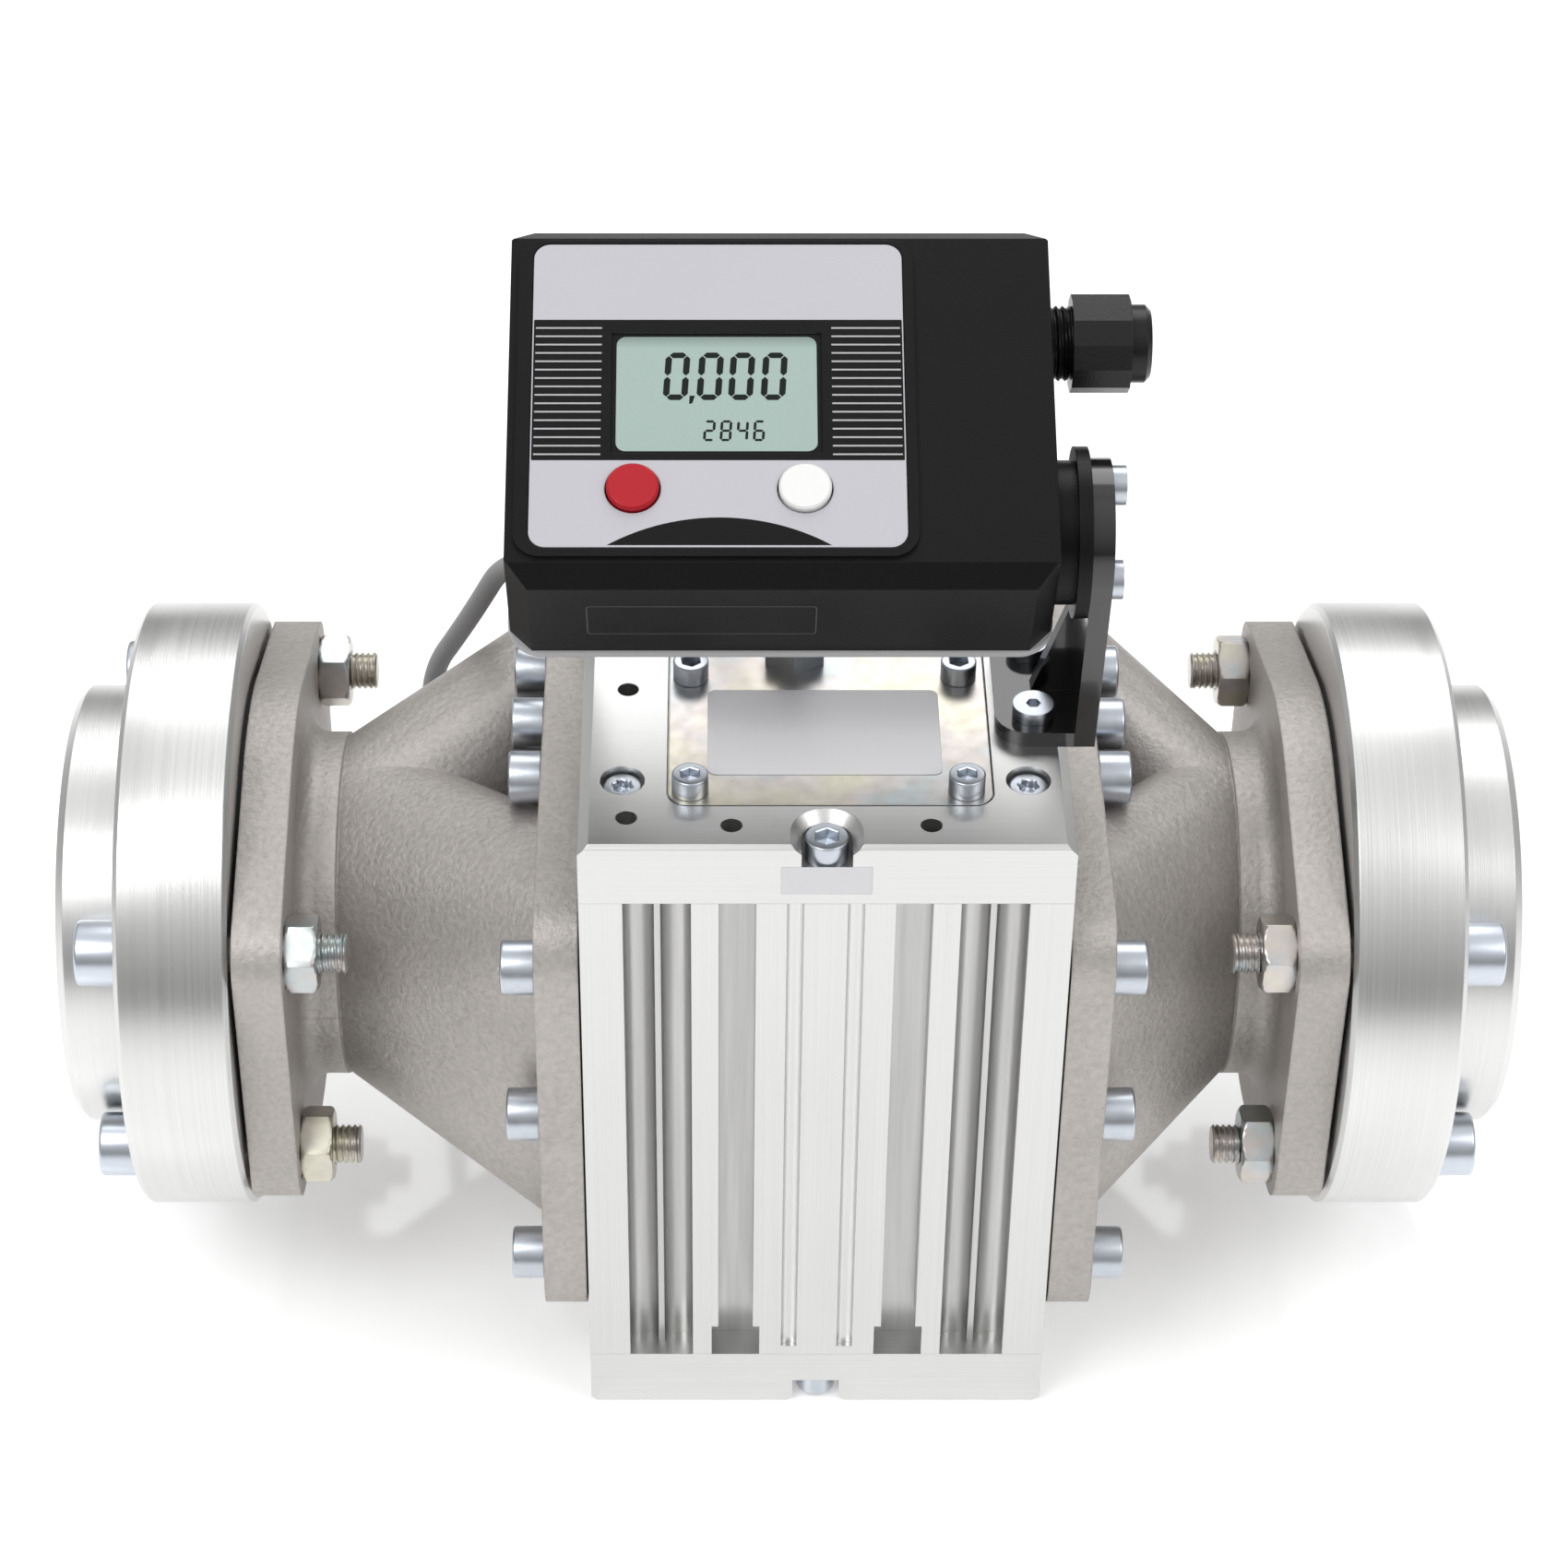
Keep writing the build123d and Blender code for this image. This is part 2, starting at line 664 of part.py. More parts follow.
def pipe_flange(flange_face):
    # Turned flange for the +X side, with the threaded hub.
    disc_outer = flange_face + disc_thickness
    hub_end = disc_outer + hub_length
    with BuildPart() as flange:
        with BuildSketch(pipe_plane(flange_face)):
            Circle(disc_radius)
        extrude(amount=disc_thickness)
        chamfer(flange.edges().filter_by(GeomType.CIRCLE), disc_edge_chamfer)
        with BuildSketch(pipe_plane(disc_outer)):
            Circle(hub_radius)
        extrude(amount=hub_length)
        chamfer(flange.edges().filter_by(GeomType.CIRCLE).sort_by(Axis.X)[-1], hub_edge_chamfer)
        with BuildSketch(pipe_plane(flange_face)):
            Circle(passage_radius)
        extrude(amount=disc_thickness + hub_length, mode=Mode.SUBTRACT)
        with BuildSketch(pipe_plane(hub_end)):
            Circle(pipe_thread_radius)
        extrude(amount=-pipe_thread_length, mode=Mode.SUBTRACT)
        with BuildSketch(pipe_plane(flange_face)):
            with GridLocations(2 * flange_bolt_half_span_y, 2 * flange_bolt_half_span_z, 2, 2):
                Circle(flange_bolt[0] + hole_clearance)
        extrude(amount=disc_thickness, mode=Mode.SUBTRACT)
    return flange.part


def flange_gasket(flange_face):
    # Thin ring sealed between casting and turned flange.
    with BuildPart() as ring:
        with BuildSketch(pipe_plane(flange_face - flange_gasket_thickness)):
            Circle(casting_flange_centre_radius - flange_gasket_inset)
            Circle(passage_radius, mode=Mode.SUBTRACT)
            with GridLocations(2 * flange_bolt_half_span_y, 2 * flange_bolt_half_span_z, 2, 2):
                Circle(flange_bolt[0] + flange_gasket_bolt_gap, mode=Mode.SUBTRACT)
        extrude(amount=flange_gasket_thickness)
    return ring.part


def nut(plane, across_flats, bore, height):
    # Plain hexagon nut standing on the plane.
    with BuildPart() as hexagon:
        with BuildSketch(plane):
            RegularPolygon(across_flats / 2, 6, major_radius=False, rotation=30)
            Circle(bore, mode=Mode.SUBTRACT)
        extrude(amount=height)
    return hexagon.part


with BuildPart() as port_gasket:
    with BuildSketch(pipe_plane(side_x)):
        RectangleRounded(
            body_depth - 2 * port_gasket_inset,
            manifold_plate_height - 2 * port_gasket_inset,
            manifold_plate_corner - port_gasket_inset,
        )
        with Locations((-chamber_pair_offset, 0), (chamber_pair_offset, 0)):
            RectangleRounded(port_width, port_height, port_corner_radius, mode=Mode.SUBTRACT)
        with Locations(*manifold_screw_points()):
            Circle(manifold_screw[0] + hole_clearance, mode=Mode.SUBTRACT)
    extrude(amount=gasket_thickness)
save(group([port_gasket.part, mirror(port_gasket.part, about=Plane.YZ)]), "manifold_gaskets")

outlet_manifold = manifold(outlet_flange_face)
inlet_manifold = mirror(manifold(inlet_flange_face), about=Plane.YZ)
save(outlet_manifold, "outlet_manifold")
save(inlet_manifold, "inlet_manifold")
outlet_flange = pipe_flange(outlet_flange_face)
inlet_flange = mirror(pipe_flange(inlet_flange_face), about=Plane.YZ)
save(outlet_flange, "outlet_flange")
save(inlet_flange, "inlet_flange")
save(
    group([
        flange_gasket(outlet_flange_face),
        mirror(flange_gasket(inlet_flange_face), about=Plane.YZ),
    ]),
    "flange_gaskets",
)

# Manifold screws, flange bolts and their nuts, on both sides.
manifold_screws = []
flange_bolts = []
flange_nuts = []
for side, flange_face in ((-1, inlet_flange_face), (1, outlet_flange_face)):
    for y, z in manifold_screw_points():
        seat = Plane((side * manifold_plate_outer, y, axis_height + z), z_dir=(side, 0, 0))
        length = manifold_plate_outer - side_x + manifold_screw_depth
        manifold_screws.append(screw(seat, manifold_screw, length))
    disc_outer = flange_face + disc_thickness
    nut_seat = flange_face - flange_gasket_thickness - casting_flange_thickness
    bolt_length = disc_outer - nut_seat + flange_nut_height + flange_bolt_protrusion
    for y_side in (-1, 1):
        for z_side in (-1, 1):
            y = y_side * flange_bolt_half_span_y
            z = axis_height + z_side * flange_bolt_half_span_z
            seat = Plane((side * disc_outer, y, z), z_dir=(side, 0, 0))
            flange_bolts.append(screw(seat, flange_bolt, bolt_length))
            back = Plane((side * nut_seat, y, z), x_dir=(0, 1, 0), z_dir=(-side, 0, 0))
            flange_nuts.append(nut(back, flange_nut_across_flats, flange_bolt[0], flange_nut_height))
save(group(manifold_screws), "manifold_screws")
save(group(flange_bolts), "flange_bolts")
save(group(flange_nuts), "flange_nuts")

# Sensor cover, its screws, the board under it and the signal gland on it.
cover_seat = plate_top - cover_thickness
with BuildPart() as sensor_cover:
    with BuildSketch(Plane.XY.offset(cover_seat)):
        with Locations(((cover_left + cover_right) / 2, (cover_front + cover_back) / 2)):
            RectangleRounded(cover_right - cover_left, cover_back - cover_front, cover_corner_radius)
        with Locations(*[(x, y) for x in cover_screw_x for y in cover_screw_y]):
            Circle(cover_screw[0] + hole_clearance, mode=Mode.SUBTRACT)
        with Locations(signal_gland_point):
            Circle(cable_diameter / 2, mode=Mode.SUBTRACT)
    extrude(amount=cover_thickness)
save(sensor_cover.part, "sensor_cover")

cover_screws = [
    screw(Plane((x, y, plate_top), z_dir=(0, 0, 1)), cover_screw, cover_thickness + cover_screw_depth)
    for x in cover_screw_x
    for y in cover_screw_y
]
save(group(cover_screws), "cover_screws")

with BuildPart() as sensor_board:
    with BuildSketch(Plane.XY.offset(plate_top - sensor_cavity_depth)):
        with Locations((0, (sensor_cavity_front + sensor_cavity_back) / 2)):
            Rectangle(
                sensor_cavity_width - 2 * board_edge_gap,
                sensor_cavity_back - sensor_cavity_front - 2 * board_edge_gap,
            )
    extrude(amount=board_thickness)
    with BuildSketch(Plane.XY.offset(plate_top - sensor_cavity_depth + board_thickness)):
        for y in rotor_axes[:2]:
            with Locations((-magnet_offset, y), (magnet_offset, y)):
                Rectangle(*sensor_chip_size)
        with Locations((0, -chamber_pair_offset)):
            Rectangle(sensor_processor_width, sensor_processor_width)
    extrude(amount=sensor_chip_height)
save(sensor_board.part, "sensor_board")

with BuildPart() as signal_gland:
    with BuildSketch(Plane.XY.offset(plate_top)):
        with Locations(signal_gland_point):
            RegularPolygon(signal_gland_across_flats / 2, 6, major_radius=False, rotation=30)
    extrude(amount=signal_gland_hex_height)
    with BuildSketch(Plane.XY.offset(plate_top + signal_gland_hex_height)):
        with Locations(signal_gland_point):
            Circle(signal_gland_neck_radius)
    extrude(amount=signal_gland_height - signal_gland_hex_height)
    chamfer(
        signal_gland.faces().sort_by(Axis.Z)[-1].edges(),
        (signal_gland_neck_radius - cable_diameter / 2) / 2,
    )
save(signal_gland.part, "signal_gland")


# Bracket: foot, upright with the pivot eye, and a gusset between them.
with BuildPart() as bracket:
    with BuildSketch(Plane.XY.offset(plate_top)):
        with Locations(((foot_inner + bracket_outer) / 2, (foot_front + foot_back) / 2)):
            Rectangle(bracket_outer - foot_inner, foot_back - foot_front)
    extrude(amount=foot_thickness)
    fillet(
        bracket.edges().filter_by(Axis.Z).filter_by_position(Axis.X, foot_inner - 0.01, foot_inner + 0.01),
        foot_corner_radius,
    )
    foot_z = plate_top - pivot_z
    with BuildSketch(pivot_plane(bracket_inner)):
        Circle(bracket_disc_radius)
        with BuildLine():
            Polyline(
                (foot_front - pivot_y, foot_z),
                (bracket_back_root - pivot_y, foot_z),
                (bracket_back_root - pivot_y, foot_z + bracket_root_height),
                (foot_front - pivot_y, foot_z + bracket_root_height),
                close=True,
            )
        make_face()
        make_hull()
    extrude(amount=bracket_thickness)
    with BuildSketch(Plane.XZ.offset(-gusset_y - gusset_thickness / 2)):
        with BuildLine():
            Polyline(
                (bracket_inner, plate_top + foot_thickness),
                (bracket_inner, plate_top + foot_thickness + gusset_height),
                (bracket_inner - gusset_height / 3, plate_top + foot_thickness),
                close=True,
            )
        make_face()
    extrude(amount=gusset_thickness)
    with BuildSketch(pivot_plane(bracket_inner)):
        Circle(spigot_radius + spigot_clearance)
    extrude(amount=bracket_thickness, mode=Mode.SUBTRACT)
    with BuildSketch(pivot_plane(bracket_inner)) as slots:
        for angle in (pivot_screw_angle, pivot_screw_angle + 180):
            with BuildLine() as slot_path:
                CenterArc(
                    (0, 0),
                    slot_arc_radius,
                    angle - tilt_forward - slot_end_margin,
                    tilt_forward + tilt_back + 2 * slot_end_margin,
                )
            SlotArc(slot_path.wires()[0], slot_width)
    extrude(amount=bracket_thickness, mode=Mode.SUBTRACT)
    with BuildSketch(Plane.XY.offset(plate_top)):
        with Locations(*[(bracket_screw_x, y) for y in bracket_screw_y]):
            Circle(bracket_screw[0] + hole_clearance)
    extrude(amount=foot_thickness, mode=Mode.SUBTRACT)
save(bracket.part, "bracket")

bracket_screws = [
    screw(
        Plane((bracket_screw_x, y, plate_top + foot_thickness), z_dir=(0, 0, 1)),
        bracket_screw,
        foot_thickness + bracket_screw_depth,
    )
    for y in bracket_screw_y
]
save(group(bracket_screws), "bracket_screws")

# Display housing: a shell open at the back, with a raised frame for the overlay.
frame_centre = on_face((frame_left + frame_right) / 2, 0)
overlay_centre = on_face((overlay_left + overlay_right) / 2, (overlay_bottom + overlay_top) / 2)
overlay_size = (overlay_right - overlay_left, overlay_top - overlay_bottom)
window_centre = on_face((window_left + window_right) / 2, (window_bottom + window_top) / 2)
window_size = (window_right - window_left, window_top - window_bottom)
button_points = (on_face(reset_button_x, button_y), on_face(cal_button_x, button_y))
post_points = [
    (x_side * (display_width / 2 - post_inset), y_side * (display_height / 2 - post_inset))
    for x_side in (-1, 1)
    for y_side in (-1, 1)
]
inner_width = display_width - 2 * housing_wall
inner_height = display_height - 2 * housing_wall

with BuildPart() as display_housing:
    with BuildSketch(below_face(display_depth)) as housing_outline:
        Rectangle(display_width, display_height)
        chamfer(housing_outline.vertices(), corner_cut)
    extrude(amount=display_depth)
    top_face = display_housing.faces().sort_by(Axis(face_origin, face_plane.z_dir))[-1]
    chamfer(top_face.edges().filter_by(Axis.X), long_edge_chamfer)
    with BuildSketch(below_face(display_depth)) as hollow_outline:
        Rectangle(inner_width, inner_height)
        chamfer(hollow_outline.vertices(), corner_cut)
    extrude(amount=display_depth - long_edge_chamfer - face_wall, mode=Mode.SUBTRACT)
    with BuildSketch(below_face(long_edge_chamfer + face_wall)):
        Rectangle(inner_width - 2 * corner_cut, display_height - 4 * long_edge_chamfer)
    extrude(amount=long_edge_chamfer, mode=Mode.SUBTRACT)
    with BuildSketch(face_plane):
        with Locations(frame_centre):
            RectangleRounded(frame_right - frame_left, frame_height, frame_corner)
    extrude(amount=frame_rise)
    with BuildSketch(face_plane.offset(frame_rise)):
        with Locations(overlay_centre):
            RectangleRounded(
                overlay_size[0] + 2 * overlay_gap,
                overlay_size[1] + 2 * overlay_gap,
                overlay_corner_radius,
            )
    extrude(amount=-overlay_thickness - overlay_drop, mode=Mode.SUBTRACT)
    with BuildSketch(face_plane.offset(frame_rise)):
        with Locations(window_centre):
            Rectangle(*window_size)
        with Locations(*button_points):
            Circle(button_radius + button_gap)
    extrude(amount=-frame_rise - face_wall - long_edge_chamfer, mode=Mode.SUBTRACT)
    # Posts that carry the circuit board and take the screws of the back plate.
    with BuildSketch(below_face(board_depth)):
        with Locations(*post_points):
            Circle(post_radius)
    extrude(amount=board_depth - face_wall)
    with BuildSketch(below_face(display_depth)):
        with Locations(*post_points):
            Circle(post_radius)
    extrude(amount=display_depth - board_depth - board_thickness)
    with BuildSketch(below_face(display_depth)):
        with Locations(*post_points):
            Circle(back_screw[0])
    extrude(amount=back_screw_depth, mode=Mode.SUBTRACT)
save(display_housing.part, "display_housing")

with BuildPart() as display_back:
    with BuildSketch(below_face(display_depth)):
        RectangleRounded(
            display_width + 2 * back_plate_lip,
            display_height + 2 * back_plate_lip,
            back_plate_corner,
        )
        with Locations(*post_points):
            Circle(back_screw[0] + hole_clearance, mode=Mode.SUBTRACT)
    extrude(amount=-back_plate_thickness)
    # The lip is cut away round the pivot hub.
    with BuildSketch(pivot_plane(display_side_x)):
        Circle(hub_inner_radius + hole_clearance)
    extrude(amount=2 * back_plate_lip, mode=Mode.SUBTRACT)
save(display_back.part, "display_back")

back_outside = below_face(display_depth + back_plate_thickness)
back_screws = [
    screw(
        Plane(back_outside.from_local_coords(Vector(x, y, 0)), x_dir=(1, 0, 0), z_dir=-face_plane.z_dir),
        back_screw,
        back_plate_thickness + back_screw_depth,
    )
    for x, y in post_points
]
save(group(back_screws), "back_screws")

with BuildPart() as face_overlay:
    with BuildSketch(face_plane.offset(frame_rise - overlay_thickness - overlay_drop)):
        with Locations(overlay_centre):
            RectangleRounded(overlay_size[0], overlay_size[1], overlay_corner_radius - overlay_gap)
        with Locations(window_centre):
            Rectangle(*window_size, mode=Mode.SUBTRACT)
        with Locations(*button_points):
            Circle(button_radius + button_gap, mode=Mode.SUBTRACT)
    extrude(amount=overlay_thickness)
save(face_overlay.part, "face_overlay")

# Liquid crystal module, with its lens standing in the window.
with BuildPart() as lcd:
    with BuildSketch(below_face(face_wall + lcd_thickness)):
        with Locations(window_centre):
            Rectangle(window_size[0] + 2 * lcd_margin_x, window_size[1] + 2 * lcd_margin_y)
    extrude(amount=lcd_thickness)
    with BuildSketch(below_face(face_wall)):
        with Locations(window_centre):
            Rectangle(window_size[0] - 2 * window_gap, window_size[1] - 2 * window_gap)
    extrude(amount=face_wall + frame_rise - lens_drop)
save(lcd.part, "lcd")

with BuildPart() as circuit_board:
    with BuildSketch(below_face(board_depth + board_thickness)):
        Rectangle(inner_width - 2 * board_side_gap, inner_height - 2 * board_side_gap)
    extrude(amount=board_thickness)
    # Connector block under the liquid crystal module.
    with BuildSketch(below_face(board_depth)):
        with Locations(window_centre):
            Rectangle(window_size[0], window_size[1] - 2 * lcd_margin_y)
    extrude(amount=board_depth - face_wall - lcd_thickness)
    # Switches under the buttons.
    with BuildSketch(below_face(board_depth)):
        with Locations(*button_points):
            Rectangle(switch_width, switch_width)
    extrude(amount=board_depth - face_wall - button_flange_thickness - button_travel - switch_gap)
    with BuildSketch(below_face(board_depth)):
        with Locations(*chip_points):
            Rectangle(chip_width, chip_width)
    extrude(amount=chip_height)
save(circuit_board.part, "circuit_board")


def button(x, name):
    # Cap that stands in the face and a flange that keeps it from falling out.
    with BuildPart() as cap:
        with BuildSketch(below_face(face_wall)):
            with Locations(on_face(x, button_y)):
                Circle(button_radius)
        extrude(amount=face_wall + frame_rise + button_rise)
        chamfer(cap.faces().sort_by(Axis(face_origin, face_plane.z_dir))[-1].edges(), button_rise / 3)
        with BuildSketch(below_face(face_wall + button_flange_thickness)):
            with Locations(on_face(x, button_y)):
                Circle(button_radius + button_flange_width)
        extrude(amount=button_flange_thickness)
    save(cap.part, name)


button(reset_button_x, "reset_button")
button(cal_button_x, "cal_button")

# Two lithium cells side by side on the back of the board.
battery_depth = board_depth + board_thickness + battery_radius
with BuildPart() as battery:
    for offset in (-1, 1):
        cell_start = below_face(battery_depth).from_local_coords(
            Vector(offset * (battery_length + battery_gap) / 2 - battery_length / 2, battery_y, 0)
        )
        with BuildSketch(Plane(cell_start, x_dir=(0, 1, 0), z_dir=(1, 0, 0))):
            Circle(battery_radius)
        extrude(amount=battery_length)
save(battery.part, "battery")

# Pivot hub on the display's right side, with its spigot through the bracket's eye.
hub_disc_face = bracket_inner - friction_gap
with BuildPart() as pivot_hub:
    with BuildSketch(pivot_plane(display_side_x)):
        Circle(hub_inner_radius)
    extrude(amount=hub_inner_length)
    with BuildSketch(pivot_plane(display_side_x + hub_inner_length)):
        Circle(hub_disc_radius)
    extrude(amount=hub_disc_face - display_side_x - hub_inner_length)
    with BuildSketch(pivot_plane(hub_disc_face)):
        Circle(spigot_radius)
    extrude(amount=friction_gap + bracket_thickness)
    with BuildSketch(pivot_plane(hub_disc_face)):
        with PolarLocations(slot_arc_radius, 2, start_angle=pivot_screw_angle):
            Circle(pivot_screw[0])
    extrude(amount=display_side_x + pivot_screw_end_gap - hub_disc_face, mode=Mode.SUBTRACT)
save(pivot_hub.part, "pivot_hub")

pivot_screws = [
    screw(
        Plane(
            (
                bracket_outer + friction_gap,
                pivot_y + slot_arc_radius * cos(radians(angle)),
                pivot_z + slot_arc_radius * sin(radians(angle)),
            ),
            z_dir=(1, 0, 0),
        ),
        pivot_screw,
        bracket_outer + friction_gap - display_side_x - pivot_screw_end_gap,
    )
    for angle in (pivot_screw_angle, pivot_screw_angle + 180)
]
save(group(pivot_screws), "pivot_screws")

# Cable gland with no cable, on the right side.
side_gland_origin = face_plane.from_local_coords(Vector(display_width / 2, side_gland_y, -side_gland_depth))


def gland_plane(distance):
    # Plane across the side gland's axis, this far outside the housing.
    return Plane(
        (side_gland_origin.X + distance, side_gland_origin.Y, side_gland_origin.Z),
        x_dir=(0, 1, 0),
        z_dir=(1, 0, 0),
    )


nut_start = side_gland_thread_length
nut_end = nut_start + side_gland_nut_length
ring_end = nut_end + side_gland_ring_length
neck_end = nut_end + side_gland_ring_length / 2
with BuildPart() as side_gland_body:
    with BuildSketch(gland_plane(0)):
        Circle(side_gland_thread_radius)
    extrude(amount=side_gland_thread_length)
    with BuildSketch(gland_plane(0)):
        Circle(side_gland_neck_radius)
    extrude(amount=neck_end)
    with BuildSketch(gland_plane(neck_end)):
        Circle(side_gland_bore)
    extrude(amount=-side_gland_bore_length, mode=Mode.SUBTRACT)
save(side_gland_body.part, "side_gland_body")

with BuildPart() as side_gland_nut:
    with BuildSketch(gland_plane(nut_start)):
        RegularPolygon(side_gland_nut_radius, side_gland_nut_facets)
    extrude(amount=side_gland_nut_length)
    with BuildSketch(gland_plane(nut_end)):
        Circle(side_gland_ring_radius)
    extrude(amount=side_gland_ring_length)
    chamfer(
        side_gland_nut.faces().sort_by(Axis.X)[-1].outer_wire().edges(),
        side_gland_ring_length / 4,
    )
    with BuildSketch(gland_plane(nut_start)):
        Circle(side_gland_neck_radius)
    extrude(amount=neck_end - nut_start, mode=Mode.SUBTRACT)
    with BuildSketch(gland_plane(nut_start)):
        Circle(side_gland_bore)
    extrude(amount=ring_end - nut_start, mode=Mode.SUBTRACT)
save(side_gland_nut.part, "side_gland_nut")

# Boot over the cable's entry, rounded about the pivot so that it clears the cable at any tilt.
with BuildPart() as cable_boot:
    with BuildSketch(back_outside):
        with Locations(on_face(boot_x, -pivot_drop)):
            Circle(boot_radius)
    extrude(amount=-boot_reach)
    with Locations((boot_x, pivot_y, pivot_z)):
        Sphere(boot_reach, mode=Mode.INTERSECT)
save(cable_boot.part, "cable_boot")

# Signal cable: straight runs joined by tangent arcs.
corners = [Vector(*point) for point in cable_points]
runs = [after - before for before, after in zip(corners, corners[1:])]
bend_radii = []
for before, after in zip(runs, runs[1:]):
    half_turn = radians(before.get_angle(after)) / 2
    bend_radii.append(cable_fillet_share * min(before.length, after.length) / tan(half_turn))
with BuildPart() as signal_cable:
    with BuildLine() as cable_path:
        FilletPolyline(*corners, radius=bend_radii)
    with BuildSketch(Plane(corners[0], x_dir=(1, 0, 0), z_dir=(0, 0, 1))):
        Circle(cable_diameter / 2)
    sweep(path=cable_path.wires()[0])
save(signal_cable.part, "signal_cable")

cable_length = cable_path.wires()[0].length
cable_section = pi * cable_diameter ** 2 / 4
print("cable bend radii", [round(radius, 1) for radius in bend_radii])
print("cable length", round(cable_length, 1))
print("volume over section times length", round(signal_cable.part.volume / (cable_section * cable_length), 4))
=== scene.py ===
import bpy
import bmesh
import math
import numpy as np
from mathutils import Matrix, Vector


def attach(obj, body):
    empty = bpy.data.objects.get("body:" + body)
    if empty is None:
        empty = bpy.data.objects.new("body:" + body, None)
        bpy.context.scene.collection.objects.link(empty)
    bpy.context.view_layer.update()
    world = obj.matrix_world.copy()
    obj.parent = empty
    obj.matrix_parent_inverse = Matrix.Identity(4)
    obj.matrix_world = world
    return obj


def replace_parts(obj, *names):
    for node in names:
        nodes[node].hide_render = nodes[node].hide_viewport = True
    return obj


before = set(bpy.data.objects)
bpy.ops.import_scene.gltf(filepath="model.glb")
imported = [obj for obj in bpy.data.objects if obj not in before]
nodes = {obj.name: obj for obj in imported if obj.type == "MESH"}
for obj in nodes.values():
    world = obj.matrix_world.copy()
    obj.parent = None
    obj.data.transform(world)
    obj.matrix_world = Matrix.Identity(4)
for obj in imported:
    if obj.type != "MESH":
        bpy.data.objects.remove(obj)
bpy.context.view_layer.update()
mm = 0.001  # lengths and places of shapes are in millimetres and turned to metres with this
print("stage: frame loaded,", len(nodes), "nodes")

# Where the camera of the picture stood, in the part's own frame; its focal length is in pixels.
cameraView = {
    "place": (-25.6, -794.4, 774.4),
    "pitch": 39.0,
    "focal": 4400.0,
    "imageSize": 1700.0,
    "centreX": 775.0,
    "sensor": 36.0,
    "farthest": 20.0,
}


def placeCamera(view):
    camera = bpy.data.objects.new("camera", bpy.data.cameras.new("camera"))
    bpy.context.scene.collection.objects.link(camera)
    camera.location = Vector(view["place"]) * mm
    camera.rotation_euler = (math.radians(90 - view["pitch"]), 0, 0)
    camera.data.sensor_width = view["sensor"]
    camera.data.lens = view["focal"] / view["imageSize"] * view["sensor"]
    camera.data.shift_x = 0.5 - view["centreX"] / view["imageSize"]
    camera.data.clip_end = view["farthest"]
    bpy.context.scene.camera = camera


placeCamera(cameraView)
print("stage: camera placed")


class Wire:
    # One socket in an expression; the operators add the Math node that they name.
    def __init__(self, finish, socket):
        self.finish = finish
        self.socket = socket

    def mathNode(self, operation, *terms):
        return self.finish.node("ShaderNodeMath", {"operation": operation}, dict(enumerate(terms)))

    def __add__(self, other):
        return self.mathNode("ADD", self, other)

    def __radd__(self, other):
        return self.mathNode("ADD", other, self)

    def __sub__(self, other):
        return self.mathNode("SUBTRACT", self, other)

    def __rsub__(self, other):
        return self.mathNode("SUBTRACT", other, self)

    def __mul__(self, other):
        return self.mathNode("MULTIPLY", self, other)

    def __rmul__(self, other):
        return self.mathNode("MULTIPLY", other, self)

    def __gt__(self, other):
        return self.mathNode("GREATER_THAN", self, other)

    def __pow__(self, other):
        return self.mathNode("POWER", self, other)

    def __abs__(self):
        return self.mathNode("ABSOLUTE", self)

    def output(self, name):
        return Wire(self.finish, self.socket.node.outputs[name])


socketNames = {
    "colour": "Base Color",
    "roughness": "Roughness",
    "metallic": "Metallic",
    "coat": "Coat Weight",
    "coatRoughness": "Coat Roughness",
    "specular": "Specular IOR Level",
    "anisotropy": "Anisotropic",
}


